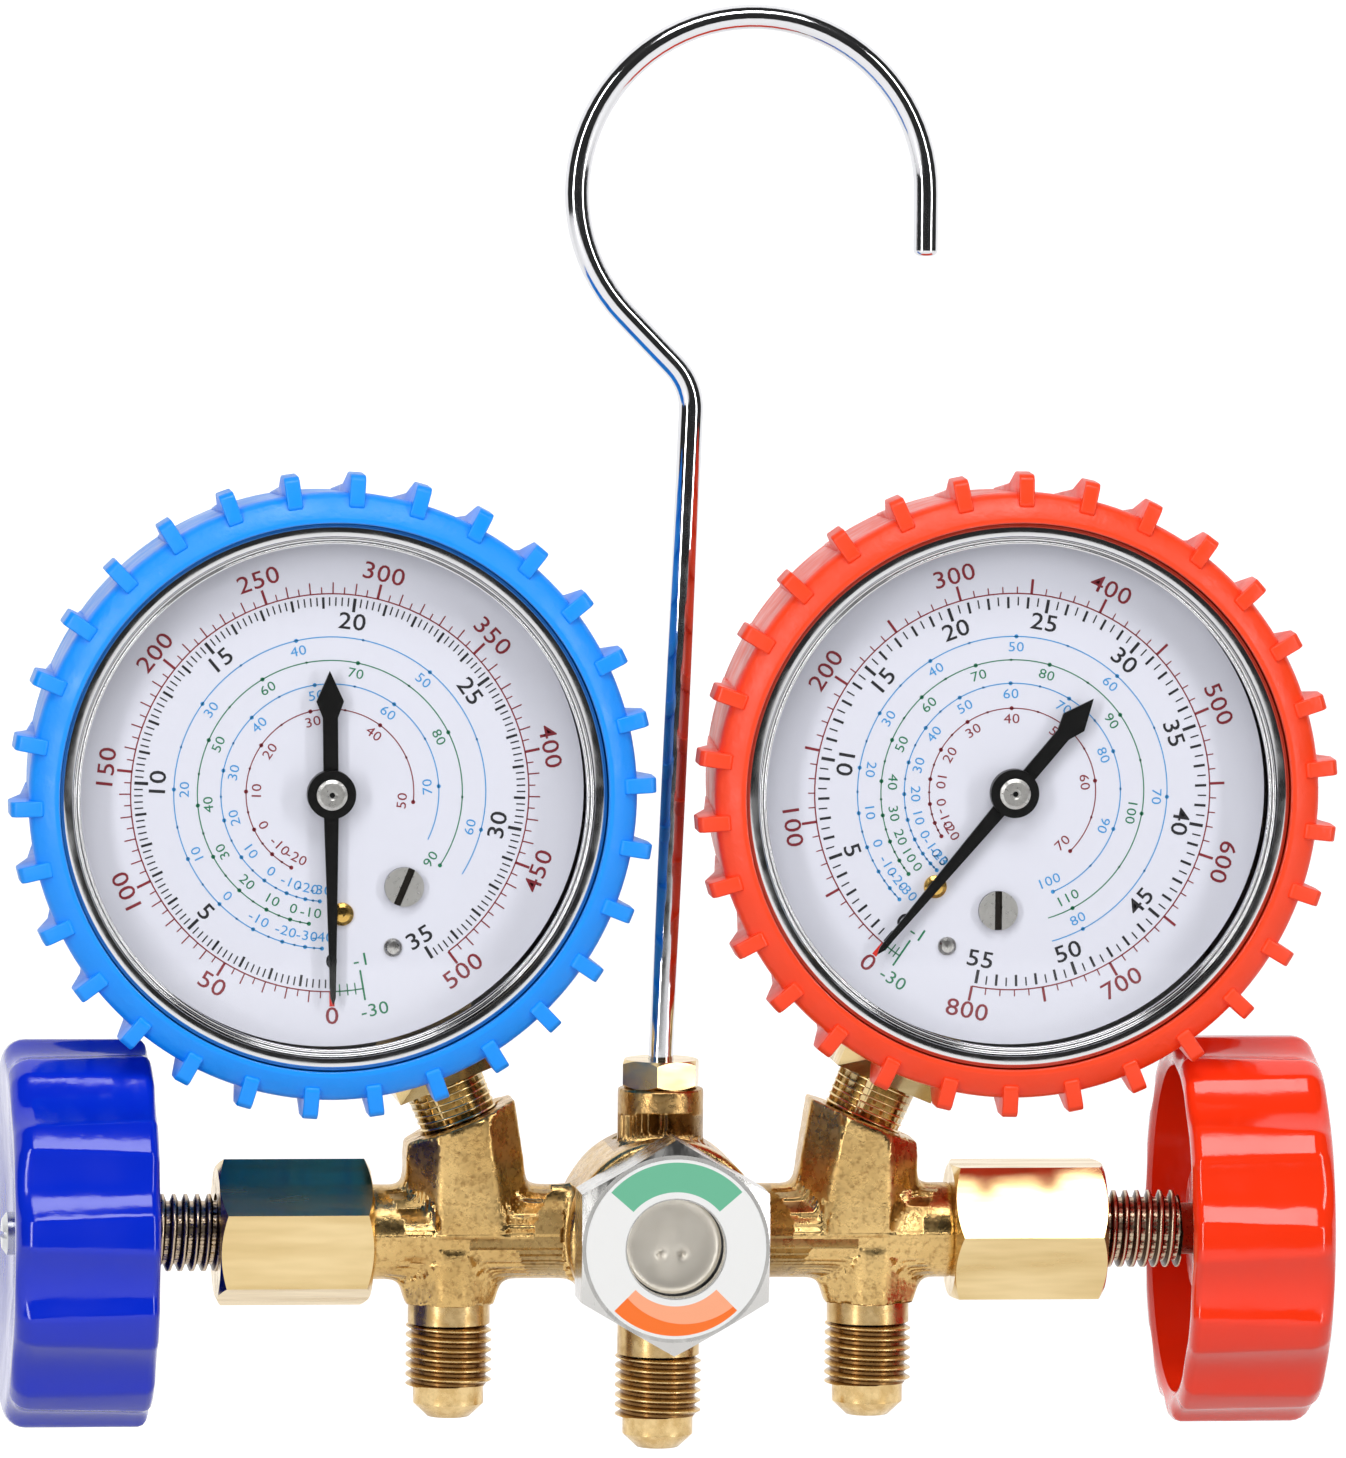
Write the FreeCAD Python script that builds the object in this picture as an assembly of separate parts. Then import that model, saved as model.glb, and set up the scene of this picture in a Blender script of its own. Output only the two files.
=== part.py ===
import FreeCAD, Part
import math
import os

from FreeCAD import Vector

# Refrigerant manifold gauge set: a forged brass bar with three flare ports, two shut-off
# valves with handwheels, two bottom-connected tube gauges in ribbed rubber boots, a moisture
# sight glass and a swivelling wire hook.
# Millimetres. X runs along the bar, -Y faces the reader of the dials, +Z is up.
# The pieces are drawn about the centre of the bar and moved at the end, so that the origin
# is the point inside the top of the hook that the set hangs from.

# Clearances
RUNNING = 0.05            # radial play of a shaft in its hole
SNUG = 0.03               # play of pieces that are screwed, pressed or soldered together
GAP = 0.3                 # air between pieces that move past each other

# Bar of the forged body
BAR_RADIUS = 6.1
BAR_HALF = 37.4           # centre of the bar to the shoulder that the bonnet stops on
BAR_THREAD_RADIUS = 5.5
BAR_THREAD_LENGTH = 9.0
BAR_BORE_RADIUS = 4.0
SEAT_X = 15.0             # centre of the bar to the valve seat
SEAT_HOLE_RADIUS = 1.5

# Flare ports under the bar
PORT_SPACING = 27.0
PORT_THREAD_RADIUS = 5.5
PORT_THREAD_LENGTH = 7.6
PORT_NECK_RADIUS = 5.25
PORT_NECK_LENGTH = 2.6
PORT_COLLAR_RADIUS = 4.5
PORT_COLLAR_LENGTH = 2.7
FLARE_ANGLE = 45.0
FLARE_TIP_RADIUS = 2.5
PORT_BORE_RADIUS = 2.4
PORT_BOSS_DEPTH = 9.4     # bar centre to the lower end of the forged port boss
PORT_BOSS_HALF_TOP = 7.9
PORT_BOSS_HALF_END = 5.6
CENTRE_PORT_DROP = 4.1    # the middle port stands lower than the outer two

# Gauge bosses on top of the bar
GAUGE_TILT = 22.5         # lean of each gauge stem from the vertical, degrees
MIDDLE_GAP = 2.55         # middle of the bar to the ribs of either boot, for the hook's wire
WHEEL_TO_CASE = 5.4       # shortest way from a wheel's rim to the steel case, with the boot between them
BOSS_TOP = 15.7           # along the stem's axis, from the height of the bar's axis
BOSS_HALF = 7.45
BOSS_FOOT_HALF_X = 8.5
BOSS_FOOT_HALF_Y = 6.5
BOSS_FOOT_FLAT_X = 4.0
BOSS_FOOT_FLAT_Y = 2.6
BOSS_FOOT_SHIFT = 4.8     # the foot's middle lies this far outside the stem's axis
GAUGE_PASSAGE_RADIUS = 1.6
GAUGE_THREAD_RADIUS = 5.1
GAUGE_THREAD_DEPTH = 8.2

# Sight glass in front of the bar's middle
SIGHT_BOSS_EDGE = 0.8       # the boss is this much wider than the flats of the nut
SIGHT_BOSS_ROUND = 1.0
SIGHT_BOSS_FRONT = 10.4
SIGHT_BOSS_BACK = 8.0
SIGHT_CHAMBER_DEPTH = 1.0
SIGHT_DRILL_RADIUS = 0.45
SIGHT_DRILL_X = 1.3
SIGHT_DRILL_Z = -1.4
SIGHT_NUT_FACE = 19.4
SIGHT_NUT_FLATS = 24.0
SIGHT_NUT_WALL = 3.0
SIGHT_NUT_CHAMFER = 0.7
SIGHT_LIP = 2.0
SIGHT_GLASS_THICK = 1.5
SIGHT_GLASS_PLAY = 0.1
SIGHT_LIP_WIDTH = 2.6
SIGHT_CHAMBER_STEP = 0.1
SIGHT_GASKET_THICK = 0.5
SIGHT_RING_STEP = 0.2       # window to the inner edge of the printed ring
SIGHT_RING_MARGIN = 0.5     # flats of the nut to the outer edge of the printed ring
SIGHT_RING_THICK = 0.2

# Hook, its boss and its nut
HOOK_BOSS_RADIUS = 5.5
HOOK_BOSS_TOP = 18.5
HOOK_NUT_FLATS = 9.3
HOOK_NUT_HEIGHT = 3.6
HOOK_NUT_SPIGOT_RADIUS = 3.5
HOOK_NUT_SPIGOT = 5.8
HOOK_NUT_TURN = -11.0
WIRE_RADIUS = 1.6
HOOK_HEAD_RADIUS = 2.8
HOOK_HEAD_THICK = 1.5
HOOK_LEAN = 2.14
HOOK_LEAN_START = 23.2
HOOK_KNEE_RADIUS = 20.0
HOOK_BEND_RADIUS = 8.0
HOOK_DIAGONAL = 44.0      # lean of the straight run to the big bend, degrees
HOOK_ARC_X = 10.6
HOOK_ARC_Z = 133.2
HOOK_ARC_RADIUS = 22.4
HOOK_END_LENGTH = 8.1

# Valves: bonnet, spindle, soft seat and seals
BONNET_FLATS = 17.0
BONNET_LENGTH = 19.6
BONNET_CHAMFER_ANGLE = 30.0
BONNET_TURN = {"low": 11.0, "high": 30.0}     # how far each bonnet was screwed round, degrees
BONNET_GASKET_THICK = 1.0
BONNET_GASKET_INNER = 4.3
SPINDLE_RADIUS = 4.95
SPINDLE_THREAD_END = 67.0
SPINDLE_NECK_RADIUS = 3.3
SPINDLE_ROD_RADIUS = 2.2
SPINDLE_SQUARE = 4.6
LAND_START = 30.0
GROOVE_START = 33.2
GROOVE_LENGTH = 1.9
GROOVE_RADIUS = 2.4
SEAT_DISC_RADIUS = 2.8
SEAT_DISC_THICK = 2.6
SEAT_PIN_RADIUS = 1.0
SEAT_PIN_LENGTH = 2.6
SEAT_GAP = 0.05

# Handwheels
WHEEL_RADIUS = 24.8
WHEEL_START = 65.9        # centre of the bar to the wheel's open rim, valve shut
WHEEL_LENGTH = 18.4
WHEEL_WALL = 4.1
WHEEL_FACE = 3.0
WHEEL_SHOULDER = 2.8
WHEEL_DISH = 1.2
WHEEL_HUB_RADIUS = 7.8
WHEEL_HUB_START = 3.1
WHEEL_LOBES = 12
WHEEL_FLUTE_DEPTH = 1.1
WHEEL_FLUTE_WIDTH = 4.8
WHEEL_FLUTE_ANGLE = {"low": -9.7, "high": 2.5}
WHEEL_SCREW_RADIUS = 1.5
WHEEL_SCREW_HEAD = 2.75
WHEEL_SCREW_DOME = 1.5
WHEEL_SCREW_LENGTH = 9.0

# Gauge case, front ring and lens. Depths are along Y from the stem's axis.
CASE_RADIUS = 34.0
CASE_WALL = 0.7
CASE_BACK = 10.5
CASE_RIM = -12.9
CASE_LIP = 0.7
LENS_PLAY = 0.4
LENS_THICK = 1.6
LENS_GASKET_THICK = 0.5
RING_WALL = 0.9
RING_WIDTH = 2.6
RING_LIP = 0.9
RING_SKIRT = 3.9

# Dial, pointer and their screws
DIAL_STEP = 1.6           # case to the edge of the dial
DIAL_FACE = -9.6
DIAL_THICK = 0.6
POINTER_GAP = 1.3         # dial face to the back of the pointer
POINTER_THICK = 0.5
POINTER_TIP_STEP = 5.4    # edge of the dial to the pointer's tip
POINTER_TAIL = 15.7
POINTER_HUB_RADIUS = 3.1
POINTER_HUB_THICK = 1.5
POINTER_ROOT_WIDTH = 2.0
POINTER_TIP_WIDTH = 0.7
POINTER_TAIL_WIDTH = 1.9
POINTER_DIAMOND_WIDTH = 3.5
POINTER_DIAMOND_LENGTH = 6.0
POINTER_CAP_RADIUS = 1.95
POINTER_CAP_THICK = 0.6
ZERO_ANGLE = {"low": 21.5, "high": 17.5}      # zero of the scale, clockwise from the stem
ZERO_SCREW_RADIUS = 2.5
ZERO_SCREW_PLACE = (15.3, 16.0)               # from the dial's middle, degrees from the stem
ZERO_SCREW_SLOT = 0.9
ZERO_SLOT_TURN = {"low": 45.0, "high": -22.5}
DIAL_HEAD = 0.8
RIVET_PLACE = (15.6, -16.3)
RIVET_RADIUS = 1.5
DIAL_PIN_PLACE = (21.4, 0.0)
DIAL_PIN_RADIUS = 1.2
PIN_SHANK = 0.9
PIN_DEPTH = 3.0
ZERO_SHANK = 1.4
ZERO_DEPTH = 4.0

# Socket that carries the case, the tube and the movement
SOCKET_FLATS = 13.0
SOCKET_FLANGE_STEP = 7.0  # case to the lower end of the wrench flats
SOCKET_BLOCK_TOP = 13.0
SOCKET_TONGUE_TOP = 7.0
SOCKET_BLOCK_HALF = 6.5
SOCKET_BLOCK_BACK = 7.0
SOCKET_PASSAGE = 1.5
STEM_END_GAP = 0.2

# Bourdon tube
TUBE_STEP = 8.5           # case to the middle of the tube's wall
TUBE_THICK = 2.4
TUBE_HEIGHT = 9.0
TUBE_WALL = 0.4
TUBE_MID = 2.5
TUBE_ROOT_ANGLE = 258.0
TUBE_TIP_ANGLE = -17.5
TIP_PIECE_ANGLE = 9.0
TIP_LUG_RADIUS = 1.5

# Movement: two plates, toothed sector, pinion, link and hairspring
MODULE_SHARE = 1 / 102.0  # module of the teeth for each millimetre of the tube's radius
PINION_TEETH = 12
SECTOR_TEETH = 132        # teeth of the whole wheel that the sector is cut from
SECTOR_TEETH_CUT = 16
SECTOR_ADDENDUM = 0.17
PRESSURE_ANGLE = 20.0
BACKLASH = 0.04
SECTOR_PIVOT_ANGLE = -42.0
SECTOR_THICK = 0.8
SECTOR_WEB = 2.2
SECTOR_WINDOW_SHARE = 0.68  # the window takes this share of the sector's spread
SECTOR_WINDOW_FOOT = 6.0
SECTOR_FOOT_SHARE = 0.4
SECTOR_HUB_RADIUS = 2.2
SECTOR_ARBOR_RADIUS = 1.0
SECTOR_TAIL = 5.0
SECTOR_TAIL_ANGLE = -50.0
BACK_PLATE_FACE = -3.8
PLATE_THICK = 0.8
PLATE_SPACE = 3.2
PIVOT_RADIUS = 0.5
ARBOR_RADIUS = 0.8
PLATE_HALF = 4.0
FOOT_HALF = 4.3
PILLAR_RADIUS = 1.2
LINK_THICK = 0.5
LINK_HALF_WIDTH = 1.0
HAIRSPRING_TURNS = 3.5
HAIRSPRING_OUTER = 5.3
HAIRSPRING_STRIP = 0.15
HAIRSPRING_HEIGHT = 0.5
COLLET_RADIUS = 1.3
MOVEMENT_SCREW_HEAD = 1.2
MOVEMENT_SCREW_DOME = 0.6

# Rubber boot round the case
BOOT_PLAY = 0.1
BOOT_WALL = 4.65          # rubber outside the case, at the front of the boot
BOOT_BACK_WALL = 2.9
BOOT_LAP = 0.3            # the boot's lip reaches this far over the front ring
BOOT_FRONT = -17.0
BOOT_LIP = 1.0
BOOT_SHOULDER = 2.35
BOOT_BACK_THICK = 1.7
BOOT_BACK_LAP = 4.0
RIB_COUNT = 30
RIB_PHASE = -2.4          # first rib, counter-clockwise from the stem, degrees
RIB_HEIGHT = 2.4
RIB_WIDTH = 2.0
RIB_FULL = 4.4            # length of the rib at its full height
RIB_START = 1.6
RIB_KNEE = -5.5           # where the rib turns from its steep slope to its low one
RIB_KNEE_HEIGHT = 0.45

ORIGIN = Vector(0, 0, 0)
X_AXIS = Vector(1, 0, 0)
Y_AXIS = Vector(0, 1, 0)
Z_AXIS = Vector(0, 0, 1)

# Places and sizes that several pieces share
SIGHT_BOSS_RADIUS = SIGHT_NUT_FLATS / 2 + SIGHT_BOSS_EDGE
SIGHT_NOSE_RADIUS = SIGHT_NUT_FLATS / 2 - SIGHT_NUT_WALL
SIGHT_GLASS_RADIUS = SIGHT_NOSE_RADIUS - SIGHT_GLASS_PLAY
SIGHT_WINDOW_RADIUS = SIGHT_GLASS_RADIUS - SIGHT_LIP_WIDTH
SIGHT_CHAMBER_RADIUS = SIGHT_WINDOW_RADIUS - SIGHT_CHAMBER_STEP
SIGHT_RING_INNER = SIGHT_WINDOW_RADIUS + SIGHT_RING_STEP
SIGHT_RING_OUTER = SIGHT_NUT_FLATS / 2 - SIGHT_RING_MARGIN
LENS_RADIUS = CASE_RADIUS - LENS_PLAY
RING_RADIUS = CASE_RADIUS + RING_WALL
RING_INNER = RING_RADIUS - RING_WIDTH
DIAL_RADIUS = CASE_RADIUS - DIAL_STEP
POINTER_TIP = DIAL_RADIUS - POINTER_TIP_STEP
SOCKET_FLANGE = CASE_RADIUS + SOCKET_FLANGE_STEP
TUBE_RADIUS = CASE_RADIUS - TUBE_STEP
MODULE = TUBE_RADIUS * MODULE_SHARE
BOOT_RADIUS = CASE_RADIUS + BOOT_PLAY + BOOT_WALL
BOOT_BACK_RADIUS = CASE_RADIUS + BOOT_PLAY + BOOT_BACK_WALL
BOOT_OPENING = RING_RADIUS - BOOT_LAP
BOOT_BACK_OPENING = CASE_RADIUS - BOOT_BACK_LAP
RIB_KNEE_RADIUS = BOOT_RADIUS + RIB_KNEE_HEIGHT
GAUGE_X = BOOT_RADIUS + RIB_HEIGHT + MIDDLE_GAP
GAUGE_Z = WHEEL_RADIUS + math.sqrt((CASE_RADIUS + WHEEL_TO_CASE) ** 2 - (WHEEL_START - GAUGE_X) ** 2)
BONNET_END = BAR_HALF + BONNET_LENGTH
BAR_END = BAR_HALF + BAR_THREAD_LENGTH
BONNET_SHOULDER = BAR_END + BONNET_GASKET_THICK
PORT_TOP = {-1: 0.0, 0: -CENTRE_PORT_DROP, 1: 0.0}
STEM_LENGTH = GAUGE_Z / math.cos(math.radians(GAUGE_TILT))
STEM_FOOT_X = GAUGE_X - GAUGE_Z * math.tan(math.radians(GAUGE_TILT))
SIGHT_GLASS_FRONT = SIGHT_NUT_FACE - SIGHT_LIP
SIGHT_GLASS_BACK = SIGHT_GLASS_FRONT - SIGHT_GLASS_THICK
SIGHT_NOSE_FRONT = SIGHT_GLASS_BACK - SIGHT_GASKET_THICK
DIAL_BACK = DIAL_FACE + DIAL_THICK
POINTER_BACK = DIAL_FACE - POINTER_GAP
POINTER_FRONT = POINTER_BACK - POINTER_HUB_THICK
LENS_BACK = CASE_RIM - LENS_GASKET_THICK
LENS_FRONT = LENS_BACK - LENS_THICK
RING_FRONT = LENS_FRONT - RING_LIP
FRONT_PLATE_BACK = BACK_PLATE_FACE - PLATE_SPACE
FRONT_PLATE_FACE = FRONT_PLATE_BACK - PLATE_THICK
BACK_PLATE_BACK = BACK_PLATE_FACE + PLATE_THICK
SECTOR_PITCH_RADIUS = MODULE * SECTOR_TEETH / 2
PINION_PITCH_RADIUS = MODULE * PINION_TEETH / 2
GEAR_CENTRES = SECTOR_PITCH_RADIUS + PINION_PITCH_RADIUS
SECTOR_MID = BACK_PLATE_FACE - PLATE_SPACE / 2 - 0.3
WHEEL_END = WHEEL_START + WHEEL_LENGTH
WHEEL_SEAT = WHEEL_END - WHEEL_DISH
HUB_FACE = WHEEL_START + WHEEL_HUB_START
SPINDLE_END = WHEEL_SEAT - WHEEL_FACE - 1.0


def polar(radius, degrees):
    """A point in the plane of a dial, seen from the front, as (x, z)."""
    angle = math.radians(degrees)
    return radius * math.cos(angle), radius * math.sin(angle)


def from_stem(radius, degrees):
    """The same, with the angle counted counter-clockwise from the stem, which points down."""
    return polar(radius, degrees - 90.0)


def turned(points, axis):
    """A solid of revolution from (along, radius) points about one of the row's axes."""
    places = []
    for along, radius in points:
        side = Y_AXIS if axis == Z_AXIS else Z_AXIS
        places.append(axis * along + side * radius)
    outline = Part.makePolygon(places + [places[0]])
    return Part.Face(outline).revolve(ORIGIN, axis, 360.0)


def rod(radius, start, end, axis, through=ORIGIN):
    """A cylinder along an axis, from one distance to another, through a given point."""
    low, high = min(start, end), max(start, end)
    return Part.makeCylinder(radius, high - low, through + axis * low, axis)


def prism(corners, start, end, axis, through=ORIGIN):
    """A prism along an axis from corner points given as vectors across it."""
    places = [through + corner + axis * start for corner in corners]
    face = Part.Face(Part.makePolygon(places + [places[0]]))
    return face.extrude(axis * (end - start))


def hexagon(across_flats, side, up, turn=0.0):
    """Corners of a hexagon with one flat facing the direction side, turned by some degrees."""
    corner_radius = across_flats / math.sqrt(3.0)
    corners = []
    for step in range(6):
        angle = math.radians(turn + 30.0 + 60.0 * step)
        corners.append(side * (corner_radius * math.cos(angle)) + up * (corner_radius * math.sin(angle)))
    return corners


def square(across_flats, side, up):
    """Corners of a square whose flats face the directions side and up."""
    half = across_flats / 2
    return [side * a + up * b for a, b in ((half, half), (-half, half), (-half, -half), (half, -half))]


def block(low, high):
    """A box between two opposite corners."""
    return Part.makeBox(high[0] - low[0], high[1] - low[1], high[2] - low[2], Vector(*low))


def octagon(half_side, half_up, flat_side, flat_up, side, up):
    """Corners of an eight-sided section with its own half widths and flat lengths."""
    points = [(half_side, flat_up), (flat_side, half_up), (-flat_side, half_up), (-half_side, flat_up),
              (-half_side, -flat_up), (-flat_side, -half_up), (flat_side, -half_up), (half_side, -flat_up)]
    return [side * a + up * b for a, b in points]


def closed_wire(corners, through):
    """A closed outline through corner vectors about a point."""
    places = [through + corner for corner in corners]
    return Part.makePolygon(places + [places[0]])


def strip(start, end, half_width, y_front, y_back):
    """A flat strip with round ends between two (x, z) points of the dial's plane."""
    first = Vector(start[0], y_front, start[1])
    last = Vector(end[0], y_front, end[1])
    along = (last - first).normalize()
    across = Vector(-along.z, 0, along.x) * half_width
    edges = [Part.makeLine(first + across, last + across),
             Part.Arc(last + across, last + along * half_width, last - across).toShape(),
             Part.makeLine(last - across, first - across),
             Part.Arc(first - across, first - along * half_width, first + across).toShape()]
    return Part.Face(Part.Wire(edges)).extrude(Y_AXIS * (y_back - y_front))


def pin(place, radius, y_front, y_back):
    """A round pin along Y at an (x, z) point of the dial's plane."""
    return rod(radius, y_front, y_back, Y_AXIS, Vector(place[0], 0, place[1]))


def fused(first, *others):
    """One solid from overlapping ones, with the seams between flush faces removed."""
    return first.fuse(list(others)).removeSplitter()


def save(shape, node):
    """Moves a finished piece to the hanging point and writes it under its node's name."""
    piece = shape.copy()
    piece.translate(Vector(-HOOK_ARC_X, 0, -(HOOK_ARC_Z + HOOK_ARC_RADIUS - WIRE_RADIUS)))
    piece.exportStep("parts/" + node + ".step")


def port_outside(side):
    """The turned outside of one flare port: neck, thread, collar and 45 degree flare seat."""
    top = -PORT_BOSS_DEPTH + PORT_TOP[side]
    thread_top = top - PORT_NECK_LENGTH
    thread_end = thread_top - PORT_THREAD_LENGTH
    collar_end = thread_end - PORT_COLLAR_LENGTH
    flare_depth = (PORT_COLLAR_RADIUS - FLARE_TIP_RADIUS) / math.tan(math.radians(FLARE_ANGLE))
    points = [(0.0, 0.0), (0.0, PORT_NECK_RADIUS), (thread_top, PORT_NECK_RADIUS),
              (thread_top, PORT_THREAD_RADIUS), (thread_end, PORT_THREAD_RADIUS),
              (thread_end, PORT_COLLAR_RADIUS), (collar_end, PORT_COLLAR_RADIUS),
              (collar_end - flare_depth, FLARE_TIP_RADIUS), (collar_end - flare_depth, 0.0)]
    port = turned(points, Z_AXIS)
    port.translate(X_AXIS * (side * PORT_SPACING))
    return port


def port_end(side):
    """Height of the lower end of a port."""
    flare_depth = (PORT_COLLAR_RADIUS - FLARE_TIP_RADIUS) / math.tan(math.radians(FLARE_ANGLE))
    turned_length = PORT_NECK_LENGTH + PORT_THREAD_LENGTH + PORT_COLLAR_LENGTH + flare_depth
    return PORT_TOP[side] - PORT_BOSS_DEPTH - turned_length


def port_boss(side):
    """The forged, tapered root of a port, with a narrow flat in front and wide diagonal sides."""
    top_corners = octagon(PORT_BOSS_HALF_TOP, BAR_RADIUS, 1.5, 2.2, X_AXIS, Y_AXIS)
    end_corners = octagon(PORT_BOSS_HALF_END, PORT_BOSS_HALF_END, 1.3, 2.0, X_AXIS, Y_AXIS)
    place = X_AXIS * (side * PORT_SPACING)
    end = Z_AXIS * (PORT_TOP[side] - PORT_BOSS_DEPTH)
    top_wire = closed_wire(top_corners, place - Z_AXIS * (BAR_RADIUS / 3))
    return Part.makeLoft([top_wire, closed_wire(end_corners, place + end)], True, True)


def stem_frame(side):
    """Axis and cross direction of a gauge stem: side is -1 for the low side and 1 for the high."""
    tilt = math.radians(GAUGE_TILT)
    axis = Vector(side * math.sin(tilt), 0, math.cos(tilt))
    across = Vector(math.cos(tilt), 0, -side * math.sin(tilt))
    return axis, across


def gauge_boss(side):
    """The forged eight-sided boss that a gauge stem screws into."""
    axis, across = stem_frame(side)
    foot = X_AXIS * (side * STEM_FOOT_X)
    flat = BOSS_HALF * math.tan(math.radians(22.5))
    top_wire = closed_wire(octagon(BOSS_HALF, BOSS_HALF, flat, flat, across, Y_AXIS), foot + axis * BOSS_TOP)
    foot_corners = octagon(BOSS_FOOT_HALF_X, BOSS_FOOT_HALF_Y, BOSS_FOOT_FLAT_X, BOSS_FOOT_FLAT_Y,
                           X_AXIS, Y_AXIS)
    foot_wire = closed_wire(foot_corners, foot + X_AXIS * (side * BOSS_FOOT_SHIFT))
    return Part.makeLoft([foot_wire, top_wire], True, True)


def manifold_body():
    """The brass forging with its machined ends, ports, bosses and drillings."""
    bar = rod(BAR_RADIUS, -BAR_HALF, BAR_HALF, X_AXIS)
    spigots = rod(BAR_THREAD_RADIUS, -BAR_END, BAR_END, X_AXIS)
    sight_boss = rod(SIGHT_BOSS_RADIUS, -SIGHT_BOSS_FRONT, SIGHT_BOSS_BACK, Y_AXIS)
    rounded = [edge for edge in sight_boss.Edges if edge.Curve.TypeId == "Part::GeomCircle"]
    sight_boss = sight_boss.makeFillet(SIGHT_BOSS_ROUND, rounded)
    nose = rod(SIGHT_NOSE_RADIUS, -SIGHT_NOSE_FRONT, 0, Y_AXIS)
    hook_boss = rod(HOOK_BOSS_RADIUS, 0, HOOK_BOSS_TOP, Z_AXIS)
    pieces = [spigots, sight_boss, nose, hook_boss]
    for side in (-1, 0, 1):
        pieces.append(port_boss(side))
        pieces.append(port_outside(side))
    for side in (-1, 1):
        pieces.append(gauge_boss(side))
    body = bar.fuse(pieces)

    cutters = [rod(SEAT_HOLE_RADIUS, -SEAT_X - 1, SEAT_X + 1, X_AXIS)]
    for side in (-1, 1):
        axis, across = stem_frame(side)
        foot = X_AXIS * (side * STEM_FOOT_X)
        cutters.append(rod(BAR_BORE_RADIUS, side * SEAT_X, side * (BAR_END + 1), X_AXIS))
        cutters.append(rod(GAUGE_PASSAGE_RADIUS, 0, BOSS_TOP, axis, foot))
        thread_end = BOSS_TOP - GAUGE_THREAD_DEPTH
        cutters.append(rod(GAUGE_THREAD_RADIUS + SNUG, thread_end, BOSS_TOP + 1, axis, foot))
    for side in (-1, 0, 1):
        cutters.append(rod(PORT_BORE_RADIUS, port_end(side) - 1, 0, Z_AXIS, X_AXIS * (side * PORT_SPACING)))
    chamber_floor = SIGHT_NOSE_FRONT - SIGHT_CHAMBER_DEPTH
    cutters.append(rod(SIGHT_CHAMBER_RADIUS, -SIGHT_NOSE_FRONT - 1, -chamber_floor, Y_AXIS))
    for x in (-SIGHT_DRILL_X, SIGHT_DRILL_X):
        cutters.append(rod(SIGHT_DRILL_RADIUS, -chamber_floor - 1, 0, Y_AXIS, Vector(x, 0, SIGHT_DRILL_Z)))
    cavity_radius = HOOK_NUT_SPIGOT_RADIUS + SNUG
    cavity_floor = HOOK_BOSS_TOP - HOOK_NUT_SPIGOT - HOOK_HEAD_THICK - 2 * GAP
    cutters.append(rod(cavity_radius, cavity_floor, HOOK_BOSS_TOP + 1, Z_AXIS))
    return body.cut(cutters).removeSplitter()


def sight_glass_nut():
    """Hexagonal nut with a window, screwed over the nose of the body."""
    start, end = -SIGHT_NUT_FACE, -SIGHT_BOSS_FRONT - SNUG
    nut = prism(hexagon(SIGHT_NUT_FLATS, X_AXIS, Z_AXIS), start, end, Y_AXIS)
    corner = SIGHT_NUT_FLATS / math.sqrt(3.0)
    flat = SIGHT_NUT_FLATS / 2
    shape = turned([(start, 0), (start, flat), (start + SIGHT_NUT_CHAMFER, corner),
                    (end - SIGHT_NUT_CHAMFER, corner), (end, flat), (end, 0)], Y_AXIS)
    nut = nut.common(shape)
    return nut.cut([rod(SIGHT_WINDOW_RADIUS, start - 1, end + 1, Y_AXIS),
                    rod(SIGHT_NOSE_RADIUS + SNUG, -SIGHT_GLASS_FRONT, end + 1, Y_AXIS)])


def ring(inner, outer, start, end, axis):
    """A plain flat ring."""
    return turned([(start, inner), (start, outer), (end, outer), (end, inner)], axis)


def hook_nut():
    """Brass hexagonal nut whose spigot screws into the boss and keeps the hook's head in."""
    top = HOOK_BOSS_TOP + SNUG + HOOK_NUT_HEIGHT
    start = HOOK_BOSS_TOP + SNUG
    nut = prism(hexagon(HOOK_NUT_FLATS, X_AXIS, Y_AXIS, HOOK_NUT_TURN), start, top, Z_AXIS)
    corner = HOOK_NUT_FLATS / math.sqrt(3.0)
    flat = HOOK_NUT_FLATS / 2
    chamfer = (corner - flat) / math.sqrt(3.0) * 1.2
    nut = nut.common(turned([(start, 0), (start, flat), (start + chamfer, corner), (top - chamfer, corner),
                             (top, flat), (top, 0)], Z_AXIS))
    spigot = rod(HOOK_NUT_SPIGOT_RADIUS, HOOK_BOSS_TOP - HOOK_NUT_SPIGOT, start, Z_AXIS)
    return fused(nut, spigot).cut(rod(WIRE_RADIUS + RUNNING, 0, top + 1, Z_AXIS))


def hook_path():
    """Corner points and bend radii of the hook's wire, from its head to its free end."""
    lean = math.radians(HOOK_LEAN)
    slope = math.radians(HOOK_DIAGONAL)
    head = Vector(0, 0, HOOK_BOSS_TOP - HOOK_NUT_SPIGOT - GAP - HOOK_HEAD_THICK / 2)
    knee = Vector(0, 0, HOOK_LEAN_START)
    centre = Vector(HOOK_ARC_X, 0, HOOK_ARC_Z)
    touch = centre - Vector(math.cos(slope), 0, math.sin(slope)) * HOOK_ARC_RADIUS
    run = Vector(-math.sin(slope), 0, math.cos(slope))
    shank = Vector(math.sin(lean), 0, math.cos(lean))
    gap = touch - knee
    across = shank.x * run.z - shank.z * run.x
    reach = (gap.x * run.z - gap.z * run.x) / across
    corner = knee + shank * reach
    return head, knee, corner, touch, centre


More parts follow.
